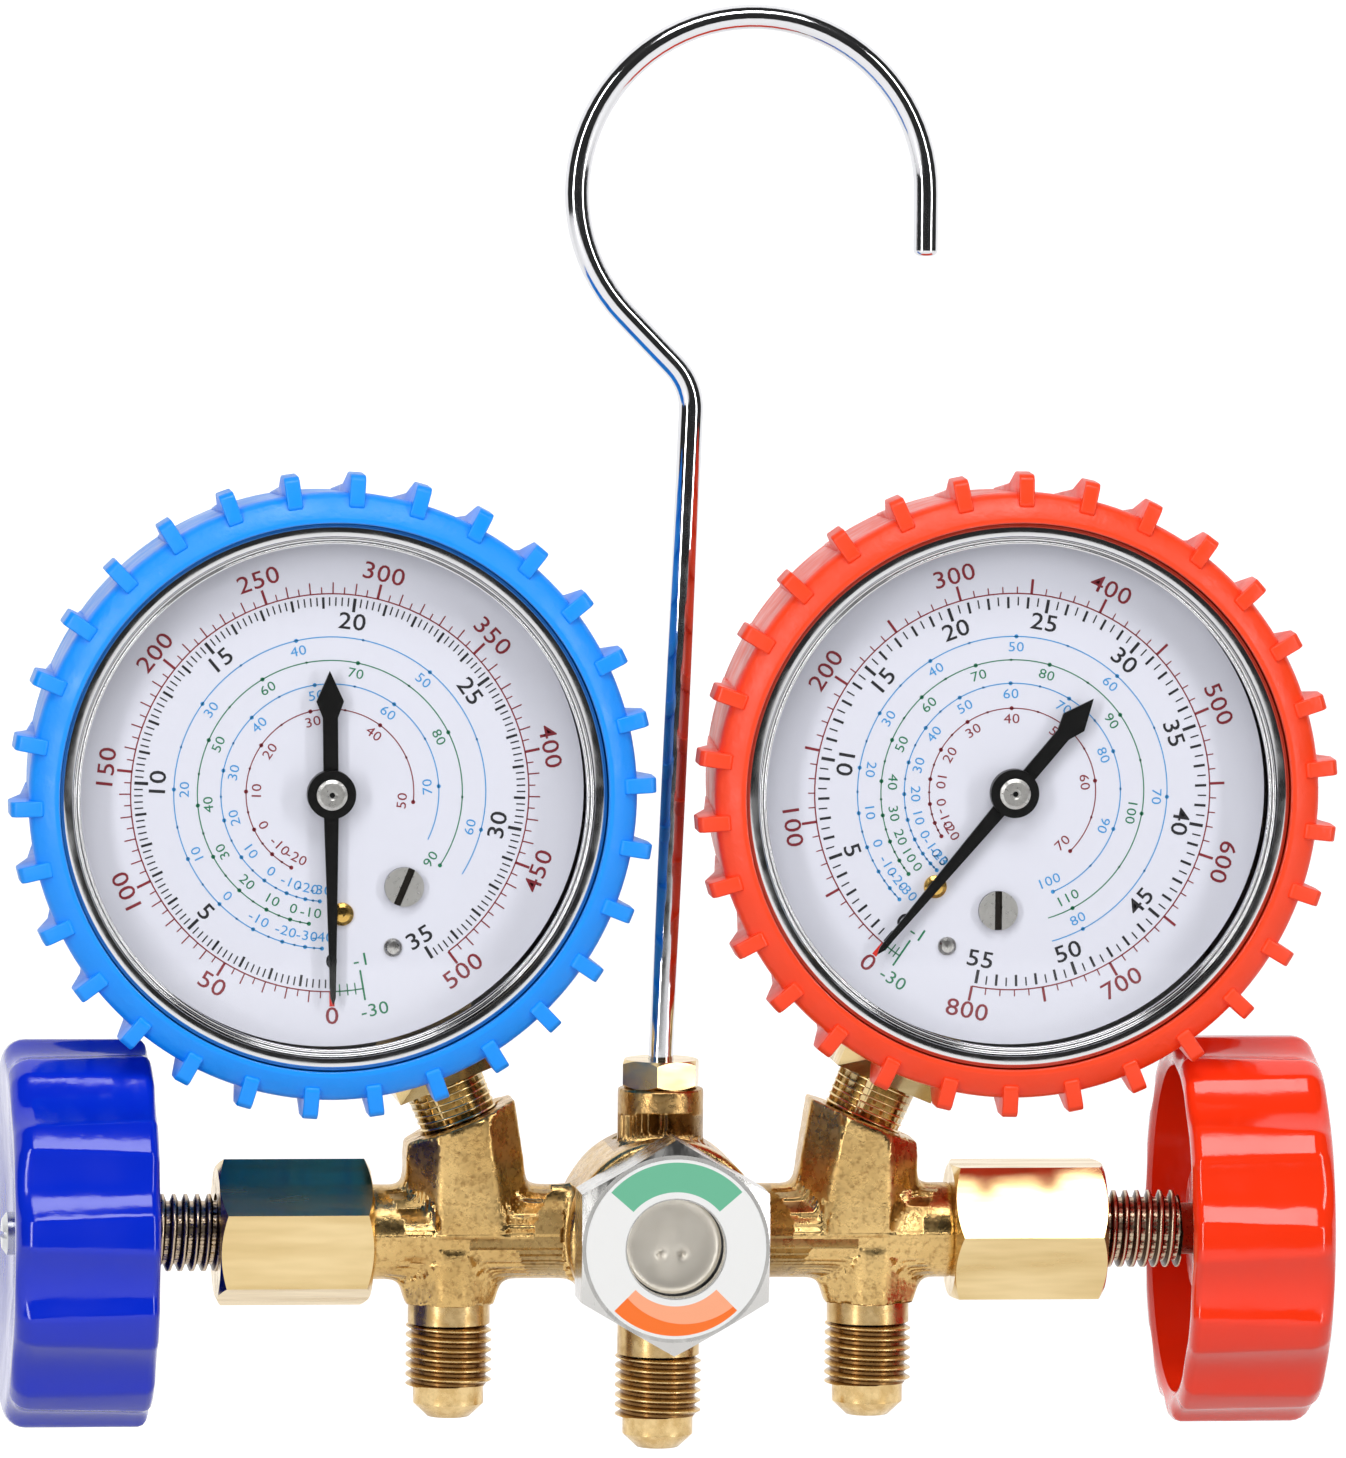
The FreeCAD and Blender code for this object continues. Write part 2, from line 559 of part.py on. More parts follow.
def bend(before, corner, after, radius):
    """Start, middle and end of an arc that rounds a corner."""
    to_start = (before - corner).normalize()
    to_end = (after - corner).normalize()
    half = to_start.getAngle(to_end) / 2
    start = corner + to_start * (radius / math.tan(half))
    end = corner + to_end * (radius / math.tan(half))
    middle_direction = (to_start + to_end).normalize()
    middle = corner + middle_direction * (radius / math.sin(half) - radius)
    return start, middle, end


def hook():
    """Chromed wire hook with an upset head that turns inside the boss."""
    head, knee, corner, touch, centre = hook_path()
    first = bend(head, knee, corner, HOOK_KNEE_RADIUS)
    second = bend(knee, corner, touch, HOOK_BEND_RADIUS)
    crown = centre + Z_AXIS * HOOK_ARC_RADIUS
    right = centre + X_AXIS * HOOK_ARC_RADIUS
    tip = right - Z_AXIS * HOOK_END_LENGTH
    edges = [Part.makeLine(head, first[0]), Part.Arc(*first).toShape(),
             Part.makeLine(first[2], second[0]), Part.Arc(*second).toShape(),
             Part.makeLine(second[2], touch), Part.Arc(touch, crown, right).toShape(),
             Part.makeLine(right, tip)]
    section = Part.Wire(Part.makeCircle(WIRE_RADIUS, head, Z_AXIS))
    wire = Part.Wire(edges).makePipeShell([section], True, True)
    tip_edges = [edge for edge in wire.Edges
                 if edge.Curve.TypeId == "Part::GeomCircle" and abs(edge.BoundBox.ZMax - tip.z) < 0.01
                 and edge.BoundBox.ZLength < 0.01]
    wire = wire.makeFillet(WIRE_RADIUS * 0.5, tip_edges)
    upset = rod(HOOK_HEAD_RADIUS, head.z - HOOK_HEAD_THICK / 2, head.z + HOOK_HEAD_THICK / 2, Z_AXIS)
    return fused(wire, upset)


def bonnet(turn):
    """Hexagonal bonnet screwed over the end of the bar, threaded for the spindle."""
    start, end = BAR_HALF, BONNET_END
    corner = BONNET_FLATS / math.sqrt(3.0)
    flat = BONNET_FLATS / 2 - 0.1
    chamfer = (corner - flat) * math.tan(math.radians(BONNET_CHAMFER_ANGLE))
    nut = prism(hexagon(BONNET_FLATS, Y_AXIS * -1, Z_AXIS, turn), start, end, X_AXIS)
    nut = nut.common(turned([(start, 0), (start, flat), (start + chamfer, corner), (end - chamfer, corner),
                             (end, flat), (end, 0)], X_AXIS))
    return nut.cut([rod(BAR_THREAD_RADIUS + SNUG, start - 1, BONNET_SHOULDER, X_AXIS),
                    rod(SPINDLE_RADIUS + RUNNING, start - 1, end + 1, X_AXIS)])


def spindle_tip():
    """Inner end of the spindle, behind the soft seat."""
    return SEAT_X + SEAT_GAP + SEAT_DISC_THICK + SEAT_GAP


def spindle():
    """Threaded spindle with a sealing plunger, a neck and a square for the wheel."""
    land = BAR_BORE_RADIUS - RUNNING
    groove_end = GROOVE_START + GROOVE_LENGTH
    thread_start = BONNET_SHOULDER + 1.0
    points = [(spindle_tip(), 0), (spindle_tip(), SPINDLE_ROD_RADIUS), (LAND_START, SPINDLE_ROD_RADIUS),
              (LAND_START, land), (GROOVE_START, land), (GROOVE_START, GROOVE_RADIUS),
              (groove_end, GROOVE_RADIUS), (groove_end, land), (thread_start, land),
              (thread_start + 1.0, SPINDLE_RADIUS), (SPINDLE_THREAD_END - 0.6, SPINDLE_RADIUS),
              (SPINDLE_THREAD_END, SPINDLE_RADIUS - 0.6), (SPINDLE_THREAD_END, SPINDLE_NECK_RADIUS),
              (HUB_FACE - SNUG, SPINDLE_NECK_RADIUS), (HUB_FACE - SNUG, 0)]
    drive = prism(square(SPINDLE_SQUARE, Y_AXIS, Z_AXIS), HUB_FACE - 1, SPINDLE_END, X_AXIS)
    shaft = fused(turned(points, X_AXIS), drive)
    screw_hole = rod(WHEEL_SCREW_RADIUS + SNUG, WHEEL_SEAT - WHEEL_SCREW_LENGTH - 1, SPINDLE_END + 1, X_AXIS)
    seat_hole = rod(SEAT_PIN_RADIUS + RUNNING, 0, spindle_tip() + SEAT_PIN_LENGTH + GAP, X_AXIS)
    return shaft.cut([screw_hole, seat_hole])


def seat_disc():
    """Soft disc that closes the seat, held by its pin in the end of the spindle."""
    start = SEAT_X + SEAT_GAP
    disc = rod(SEAT_DISC_RADIUS, start, start + SEAT_DISC_THICK, X_AXIS)
    return fused(disc, rod(SEAT_PIN_RADIUS, start, spindle_tip() + SEAT_PIN_LENGTH, X_AXIS))


def spindle_seal():
    """Rubber ring in the spindle's groove."""
    inner = GROOVE_RADIUS + SNUG
    outer = BAR_BORE_RADIUS - RUNNING
    middle = GROOVE_START + GROOVE_LENGTH / 2
    return Part.makeTorus((inner + outer) / 2, (outer - inner) / 2, X_AXIS * middle, X_AXIS)


def handwheel(flute_angle):
    """Moulded wheel, hollow towards the bar, with a fluted rim and a square in its hub."""
    radius, start, end = WHEEL_RADIUS, WHEEL_START, WHEEL_END
    shoulder = WHEEL_SHOULDER
    inner = radius - WHEEL_WALL
    diagonal = shoulder * (1 - math.sqrt(0.5))
    flat = [Vector(start, 0, inner), Vector(start, 0, radius), Vector(end - shoulder, 0, radius)]
    crest = Vector(end - diagonal, 0, radius - diagonal)
    edge = Vector(end, 0, radius - shoulder)
    rest = [edge, Vector(end, 0, radius - shoulder - 1.0), Vector(WHEEL_SEAT, 0, WHEEL_HUB_RADIUS),
            Vector(WHEEL_SEAT, 0, 0), Vector(HUB_FACE, 0, 0), Vector(HUB_FACE, 0, WHEEL_HUB_RADIUS),
            Vector(WHEEL_SEAT - WHEEL_FACE, 0, WHEEL_HUB_RADIUS + 0.4),
            Vector(end - WHEEL_FACE - 0.4, 0, inner - 2.0), Vector(end - WHEEL_FACE - 2.0, 0, inner - 0.4),
            Vector(start, 0, inner)]
    edges = list(Part.makePolygon(flat).Edges)
    edges.append(Part.Arc(flat[-1], crest, edge).toShape())
    edges += list(Part.makePolygon(rest).Edges)
    wheel = Part.Face(Part.Wire(edges)).revolve(ORIGIN, X_AXIS, 360.0)
    half = WHEEL_FLUTE_WIDTH / 2
    flute_radius = (half * half + WHEEL_FLUTE_DEPTH * WHEEL_FLUTE_DEPTH) / (2 * WHEEL_FLUTE_DEPTH)
    flutes = []
    for step in range(WHEEL_LOBES):
        angle = math.radians(flute_angle) + 2 * math.pi * step / WHEEL_LOBES
        out = radius - WHEEL_FLUTE_DEPTH + flute_radius
        place = Vector(0, out * math.cos(angle), out * math.sin(angle))
        flutes.append(rod(flute_radius, start - 1, end + 1, X_AXIS, place))
    socket = prism(square(SPINDLE_SQUARE + 2 * SNUG, Y_AXIS, Z_AXIS), HUB_FACE - 1, SPINDLE_END + GAP, X_AXIS)
    hole = rod(WHEEL_SCREW_RADIUS + 0.3, HUB_FACE, end, X_AXIS)
    return wheel.cut(flutes + [socket, hole])


def handwheel_screw():
    """Domed screw that holds the wheel on the spindle."""
    crown = WHEEL_SEAT + WHEEL_SCREW_DOME
    points = [(WHEEL_SEAT - WHEEL_SCREW_LENGTH, 0), (WHEEL_SEAT - WHEEL_SCREW_LENGTH, WHEEL_SCREW_RADIUS),
              (WHEEL_SEAT, WHEEL_SCREW_RADIUS), (WHEEL_SEAT, WHEEL_SCREW_HEAD),
              (WHEEL_SEAT + WHEEL_SCREW_DOME * 0.45, WHEEL_SCREW_HEAD),
              (WHEEL_SEAT + WHEEL_SCREW_DOME * 0.85, WHEEL_SCREW_HEAD * 0.7), (crown, 0)]
    slot = block((crown - 0.7, -WHEEL_SCREW_HEAD, -0.4), (crown + 1, WHEEL_SCREW_HEAD, 0.4))
    return turned(points, X_AXIS).cut(slot)


def gauge_case():
    """Drawn steel cup with an inward lip for the lens and an opening for the socket."""
    outer, inner = CASE_RADIUS, CASE_RADIUS - CASE_WALL
    corner = 2.0
    points = [(CASE_RIM, inner - CASE_LIP), (CASE_RIM, outer), (CASE_BACK - corner, outer),
              (CASE_BACK, outer - corner), (CASE_BACK, 0), (CASE_BACK - CASE_WALL, 0),
              (CASE_BACK - CASE_WALL, inner - corner), (CASE_BACK - CASE_WALL - corner, inner),
              (CASE_RIM + CASE_WALL, inner), (CASE_RIM + CASE_WALL, inner - CASE_LIP)]
    half = SOCKET_FLATS / 2 + SNUG
    opening = block((-half, -half, -CASE_RADIUS - 1), (half, half, -SOCKET_BLOCK_TOP))
    return turned(points, Y_AXIS).cut(opening)


def front_ring():
    """Polished ring rolled over the case's rim, stepped towards the lens."""
    skirt = CASE_RADIUS + SNUG
    points = [(CASE_RIM + RING_SKIRT, skirt), (CASE_RIM + RING_SKIRT, RING_RADIUS),
              (RING_FRONT + 0.8, RING_RADIUS), (RING_FRONT, RING_RADIUS - 0.8),
              (RING_FRONT, RING_RADIUS - 1.4), (RING_FRONT + 0.45, RING_INNER + 0.6),
              (RING_FRONT + 0.45, RING_INNER), (LENS_FRONT, RING_INNER),
              (LENS_FRONT, LENS_RADIUS + SNUG), (CASE_RIM, LENS_RADIUS + SNUG),
              (CASE_RIM, skirt)]
    return turned(points, Y_AXIS)


def dial():
    """Thin printed plate with holes for the pointer's arbor and the screws."""
    plate = rod(DIAL_RADIUS, DIAL_FACE, DIAL_BACK, Y_AXIS)
    holes = [rod(ARBOR_RADIUS + 0.8, DIAL_FACE - 1, DIAL_BACK + 1, Y_AXIS),
             pin(from_stem(*ZERO_SCREW_PLACE), ZERO_SHANK + RUNNING, DIAL_FACE - 1, DIAL_BACK + 1)]
    for place in (RIVET_PLACE, DIAL_PIN_PLACE):
        holes.append(pin(from_stem(*place), PIN_SHANK + SNUG, DIAL_FACE - 1, DIAL_BACK + 1))
    return plate.cut(holes)


def zero_screw(slot_turn):
    """Slotted screw in the dial that resets the pointer to zero."""
    head_back = DIAL_FACE - 0.15
    head_front = head_back - DIAL_HEAD
    head = rod(ZERO_SCREW_RADIUS, head_front, head_back, Y_AXIS)
    shank = rod(ZERO_SHANK, head_back - 0.2, DIAL_BACK + ZERO_DEPTH, Y_AXIS)
    half = ZERO_SCREW_SLOT / 2
    reach = ZERO_SCREW_RADIUS + 1
    slot = block((-half, head_front - 1, -reach), (half, head_front + 0.5, reach))
    slot.rotate(ORIGIN, Y_AXIS, slot_turn)
    screw = fused(head, shank).cut(slot)
    x, z = from_stem(*ZERO_SCREW_PLACE)
    screw.translate(Vector(x, 0, z))
    return screw


def dial_fastener(place, radius):
    """Small domed rivet or pin that holds the dial on the socket."""
    profile = [(DIAL_BACK + PIN_DEPTH, 0), (DIAL_BACK + PIN_DEPTH, PIN_SHANK), (DIAL_FACE, PIN_SHANK),
               (DIAL_FACE, radius), (DIAL_FACE - DIAL_HEAD * 0.4, radius * 0.95),
               (DIAL_FACE - DIAL_HEAD * 0.8, radius * 0.65), (DIAL_FACE - DIAL_HEAD, 0)]
    fastener = turned(profile, Y_AXIS)
    x, z = from_stem(*place)
    fastener.translate(Vector(x, 0, z))
    return fastener


def pointer(zero):
    """Black pointer with a long tapered arm and a short tail with a diamond end."""
    hub = rod(POINTER_HUB_RADIUS, POINTER_FRONT, POINTER_BACK, Y_AXIS)
    root, tip, tail = POINTER_ROOT_WIDTH / 2, POINTER_TIP_WIDTH / 2, POINTER_TAIL_WIDTH / 2
    wide = POINTER_DIAMOND_WIDTH / 2
    neck = POINTER_TAIL - POINTER_DIAMOND_LENGTH
    outline = [(-root, 0), (-tip, 1.0 - POINTER_TIP), (0, -POINTER_TIP), (tip, 1.0 - POINTER_TIP), (root, 0),
               (tail, 0.5), (tail, neck), (wide, neck + POINTER_DIAMOND_LENGTH * 0.35), (0, POINTER_TAIL),
               (-wide, neck + POINTER_DIAMOND_LENGTH * 0.35), (-tail, neck), (-tail, 0.5)]
    corners = [Vector(x, 0, z) for x, z in outline]
    blade = prism(corners, POINTER_BACK - POINTER_THICK, POINTER_BACK, Y_AXIS)
    hand = fused(hub, blade).cut(rod(ARBOR_RADIUS + SNUG, POINTER_FRONT - 1, POINTER_BACK + 1, Y_AXIS))
    hand.rotate(ORIGIN, Y_AXIS, zero)
    return hand


def pointer_cap():
    """Nickel cap pressed on the end of the arbor."""
    front = POINTER_FRONT - POINTER_CAP_THICK
    points = [(POINTER_FRONT, 0), (POINTER_FRONT, POINTER_CAP_RADIUS), (front + 0.25, POINTER_CAP_RADIUS),
              (front, POINTER_CAP_RADIUS - 0.4), (front, 0.7), (front + 0.15, 0.5), (front + 0.15, 0)]
    return turned(points, Y_AXIS)


def tooth_flank(teeth, radius):
    """Half the angle that a tooth takes up at a radius, for a gear of so many teeth."""
    pitch_radius = MODULE * teeth / 2
    base = pitch_radius * math.cos(math.radians(PRESSURE_ANGLE))
    at_pitch = math.pi / (2 * teeth) - BACKLASH / 2 / pitch_radius / 2

    def involute(r):
        roll = math.acos(min(1.0, base / r))
        return math.tan(roll) - roll
    return at_pitch + involute(pitch_radius) - involute(max(radius, base))


def tooth_corners(teeth, angle, root, tip):
    """Corners of one tooth round the direction angle, in radians, on a gear about the origin."""
    radii = [root, root + (tip - root) * 0.35, root + (tip - root) * 0.7, tip]
    left = [(r, angle - tooth_flank(teeth, r)) for r in radii]
    right = [(r, angle + tooth_flank(teeth, r)) for r in reversed(radii)]
    return [(r * math.cos(a), r * math.sin(a)) for r, a in left + right]


def sector_pivot():
    """Place of the sector's arbor in the dial's plane."""
    return polar(GEAR_CENTRES, SECTOR_PIVOT_ANGLE)


def pinion():
    """Small gear on the pointer's arbor, with the collet of the hairspring."""
    root = PINION_PITCH_RADIUS - 1.2 * MODULE
    tip = PINION_PITCH_RADIUS + MODULE
    outline = []
    for tooth in range(PINION_TEETH):
        angle = math.radians(SECTOR_PIVOT_ANGLE) + 2 * math.pi * tooth / PINION_TEETH
        outline += tooth_corners(PINION_TEETH, angle, root, tip)
    corners = [Vector(x, 0, z) for x, z in outline]
    front = FRONT_PLATE_BACK + 0.15
    gear_back = SECTOR_MID + SECTOR_THICK / 2 + 0.4
    teeth = prism(corners, front, gear_back, Y_AXIS)
    collet = rod(COLLET_RADIUS, gear_back - 0.1, BACK_PLATE_FACE - 0.15, Y_AXIS)
    arbor = rod(ARBOR_RADIUS, POINTER_FRONT, gear_back, Y_AXIS)
    pivot = rod(PIVOT_RADIUS, gear_back, BACK_PLATE_BACK, Y_AXIS)
    return fused(teeth, collet, arbor, pivot)


def sector():
    """Toothed sector with its arbor and the tail that the link pulls."""
    root = SECTOR_PITCH_RADIUS - 1.2 * MODULE
    tip = SECTOR_PITCH_RADIUS + SECTOR_ADDENDUM
    step = 2 * math.pi / SECTOR_TEETH
    to_pinion = math.radians(SECTOR_PIVOT_ANGLE + 180.0)
    ahead = 3
    angles = [to_pinion + step * (ahead - 0.5 - tooth) for tooth in range(SECTOR_TEETH_CUT)]
    angles.reverse()
    outline = [(0.0, 0.0)]
    first, last = angles[0] - step / 2, angles[-1] + step / 2
    outline.append((root * math.cos(first), root * math.sin(first)))
    for angle in angles:
        outline += tooth_corners(SECTOR_TEETH, angle, root, tip)
    outline.append((root * math.cos(last), root * math.sin(last)))
    front, back = SECTOR_MID - SECTOR_THICK / 2, SECTOR_MID + SECTOR_THICK / 2
    corners = [Vector(x, 0, z) for x, z in outline]
    body = prism(corners, front, back, Y_AXIS)
    inner = root - SECTOR_WEB
    window_corners = []
    spread = (last - first) / 2
    middle = (first + last) / 2
    rim_shares = [SECTOR_WINDOW_SHARE * part for part in (1.0, 0.5, 0.0, -0.5, -1.0)]
    window = [(inner, share) for share in rim_shares]
    window += [(SECTOR_WINDOW_FOOT, -SECTOR_FOOT_SHARE), (SECTOR_WINDOW_FOOT, SECTOR_FOOT_SHARE)]
    for radius, share in window:
        angle = middle + spread * share
        window_corners.append(Vector(radius * math.cos(angle), 0, radius * math.sin(angle)))
    body = body.cut(prism(window_corners, front - 1, back + 1, Y_AXIS))
    tail_end = polar(SECTOR_TAIL, SECTOR_TAIL_ANGLE)
    tail = strip((0, 0), tail_end, 1.3, front, back)
    hub = rod(SECTOR_HUB_RADIUS, front, back, Y_AXIS)
    link_back = back + 0.25 + LINK_THICK
    tail_pin = pin(tail_end, PIVOT_RADIUS, front, link_back + 0.3)
    arbor = rod(SECTOR_ARBOR_RADIUS, FRONT_PLATE_BACK + 0.15, BACK_PLATE_FACE - 0.15, Y_AXIS)
    pivots = rod(PIVOT_RADIUS, FRONT_PLATE_FACE, BACK_PLATE_BACK, Y_AXIS)
    whole = fused(body, tail, hub, tail_pin, arbor, pivots)
    x, z = sector_pivot()
    whole.translate(Vector(x, 0, z))
    return whole


def tail_place():
    """Where the link hangs on the sector's tail at rest."""
    pivot, tail = sector_pivot(), polar(SECTOR_TAIL, SECTOR_TAIL_ANGLE)
    return pivot[0] + tail[0], pivot[1] + tail[1]


def tip_place():
    """Where the link hangs on the end of the tube at rest."""
    return polar(TUBE_RADIUS, TUBE_TIP_ANGLE - TIP_PIECE_ANGLE / 2)


def link_span():
    """Front and back of the link, just behind the sector's tail."""
    front = SECTOR_MID + SECTOR_THICK / 2 + 0.25
    return front, front + LINK_THICK


def link():
    """Flat link from the end of the tube to the tail of the sector."""
    front, back = link_span()
    body = strip(tail_place(), tip_place(), LINK_HALF_WIDTH, front, back)
    hole = PIVOT_RADIUS + RUNNING
    return body.cut([pin(place, hole, front - 1, back + 1) for place in (tail_place(), tip_place())])


def flat_oval(half_thick, half_height):
    """Face of the tube's flattened section, in the plane of the stem and the dial's axis."""
    low, high = TUBE_MID - half_height + half_thick, TUBE_MID + half_height - half_thick
    inner, outer = TUBE_RADIUS - half_thick, TUBE_RADIUS + half_thick
    crest, trough = Vector(TUBE_RADIUS, high + half_thick, 0), Vector(TUBE_RADIUS, low - half_thick, 0)
    edges = [Part.makeLine(Vector(inner, low, 0), Vector(inner, high, 0)),
             Part.Arc(Vector(inner, high, 0), crest, Vector(outer, high, 0)).toShape(),
             Part.makeLine(Vector(outer, high, 0), Vector(outer, low, 0)),
             Part.Arc(Vector(outer, low, 0), trough, Vector(inner, low, 0)).toShape()]
    return Part.Face(Part.Wire(edges))


def oval_arc(half_thick, half_height, start, end):
    """The oval section swept round the dial's axis from one angle to another, seen from the front."""
    face = flat_oval(half_thick, half_height)
    face.rotate(ORIGIN, Y_AXIS, -end)
    return face.revolve(ORIGIN, Y_AXIS, end - start)


def bourdon_tube():
    """Curved flattened tube, closed by an end piece with the pin for the link."""
    half, height = TUBE_THICK / 2, TUBE_HEIGHT / 2
    outside = oval_arc(half, height, TUBE_TIP_ANGLE, TUBE_ROOT_ANGLE)
    hollow = oval_arc(half - TUBE_WALL, height - TUBE_WALL, TUBE_TIP_ANGLE, TUBE_ROOT_ANGLE + 1)
    end_piece = oval_arc(half, height, TUBE_TIP_ANGLE - TIP_PIECE_ANGLE, TUBE_TIP_ANGLE)
    front, back = link_span()
    lug = pin(tip_place(), TIP_LUG_RADIUS, back + 0.2, TUBE_MID)
    link_pin = pin(tip_place(), PIVOT_RADIUS, front - 0.3, TUBE_MID)
    return fused(outside.cut(hollow), end_piece, lug, link_pin)


def hairspring():
    """Flat spiral spring from the collet to its stud on the back plate."""
    start_radius = COLLET_RADIUS + HAIRSPRING_STRIP / 2 + 0.02
    steps = int(HAIRSPRING_TURNS * 16)
    inner_edge, outer_edge = [], []
    for step in range(steps + 1):
        share = step / steps
        angle = math.radians(60.0) - 2 * math.pi * HAIRSPRING_TURNS * (1 - share)
        radius = start_radius + (HAIRSPRING_OUTER - start_radius) * share
        for edge, offset in ((inner_edge, -HAIRSPRING_STRIP / 2), (outer_edge, HAIRSPRING_STRIP / 2)):
            edge.append(Vector((radius + offset) * math.cos(angle), 0, (radius + offset) * math.sin(angle)))
    curves = []
    for edge in (inner_edge, outer_edge):
        curve = Part.BSplineCurve()
        curve.interpolate(edge)
        curves.append(curve.toShape())
    caps = [Part.makeLine(inner_edge[0], outer_edge[0]), Part.makeLine(inner_edge[-1], outer_edge[-1])]
    outline = Part.Wire(Part.__sortEdges__(curves + caps))
    spring = Part.Face(outline).extrude(Y_AXIS * HAIRSPRING_HEIGHT)
    spring.translate(Y_AXIS * (BACK_PLATE_FACE - 0.3 - HAIRSPRING_HEIGHT))
    return spring


def pillar_places():
    """Places of the three posts between the plates of the movement."""
    pivot = sector_pivot()
    near = [polar(PLATE_HALF + 1.0, angle) for angle in (28.0, 228.0)]
    places = [polar(7.2, 135.0)]
    for x, z in near:
        places.append((pivot[0] + x, pivot[1] + z))
    return places


def plate_outline(y_front, y_back):
    """Stamped plate of the movement, from the pinion to the sector's arbor."""
    posts = pillar_places()
    edge = PILLAR_RADIUS + 0.9
    return fused(strip((0, 0), sector_pivot(), PLATE_HALF, y_front, y_back),
                 strip((0, 0), posts[0], edge, y_front, y_back),
                 strip(posts[1], posts[2], edge, y_front, y_back))


def foot_screw_places():
    """Places of the two screws that hold the movement on the socket."""
    middle = (SOCKET_TONGUE_TOP + SOCKET_BLOCK_TOP) / 2
    return [(-3.0, -middle), (3.0, -middle)]


def back_plate():
    """Back plate of the movement with its riveted posts, its foot and the hairspring's stud."""
    plate = plate_outline(BACK_PLATE_FACE, BACK_PLATE_BACK)
    foot_end = -SOCKET_BLOCK_TOP + FOOT_HALF + GAP
    foot = strip((0, -2.0), (0, foot_end), FOOT_HALF, BACK_PLATE_FACE, BACK_PLATE_BACK)
    lobe = rod(HAIRSPRING_OUTER + 1.2, BACK_PLATE_FACE, BACK_PLATE_BACK, Y_AXIS)
    stud_place = polar(HAIRSPRING_OUTER + 0.6 + HAIRSPRING_STRIP, 60.0)
    stud = pin(stud_place, 0.6, BACK_PLATE_FACE - 0.3 - HAIRSPRING_HEIGHT, BACK_PLATE_FACE)
    posts = [pin(place, PILLAR_RADIUS, FRONT_PLATE_BACK, BACK_PLATE_FACE) for place in pillar_places()]
    plate = fused(plate, foot, lobe, stud, *posts)
    holes = [rod(PIVOT_RADIUS + RUNNING, BACK_PLATE_FACE - 1, BACK_PLATE_BACK + 1, Y_AXIS),
             pin(sector_pivot(), PIVOT_RADIUS + RUNNING, BACK_PLATE_FACE - 1, BACK_PLATE_BACK + 1)]
    for place in foot_screw_places():
        holes.append(pin(place, 0.6 + SNUG, BACK_PLATE_FACE - 1, BACK_PLATE_BACK + 1))
    for place in pillar_places():
        holes.append(pin(place, 0.6 + SNUG, FRONT_PLATE_BACK - 1, FRONT_PLATE_BACK + 2.0))
    return plate.cut(holes)


def front_plate():
    """Front plate of the movement."""
    plate = plate_outline(FRONT_PLATE_FACE, FRONT_PLATE_BACK)
    holes = [rod(ARBOR_RADIUS + RUNNING, FRONT_PLATE_FACE - 1, FRONT_PLATE_BACK + 1, Y_AXIS),
             pin(sector_pivot(), PIVOT_RADIUS + RUNNING, FRONT_PLATE_FACE - 1, FRONT_PLATE_BACK + 1)]
    for place in pillar_places():
        holes.append(pin(place, 0.6 + SNUG, FRONT_PLATE_FACE - 1, FRONT_PLATE_BACK + 1))
    return plate.cut(holes)


def movement_screws():
    """Equal screws of one movement: three through the front plate, two through the foot."""
    heads = [(place, FRONT_PLATE_FACE) for place in pillar_places()]
    heads += [(place, BACK_PLATE_FACE) for place in foot_screw_places()]
    screws = []
    for place, seat in heads:
        profile = [(seat + 2.4, 0), (seat + 2.4, 0.6), (seat, 0.6), (seat, MOVEMENT_SCREW_HEAD),
                   (seat - MOVEMENT_SCREW_DOME * 0.6, MOVEMENT_SCREW_HEAD),
                   (seat - MOVEMENT_SCREW_DOME, MOVEMENT_SCREW_HEAD * 0.6), (seat - MOVEMENT_SCREW_DOME, 0)]
        screw = turned(profile, Y_AXIS)
        screw.translate(Vector(place[0], 0, place[1]))
        screws.append(screw)
    return screws


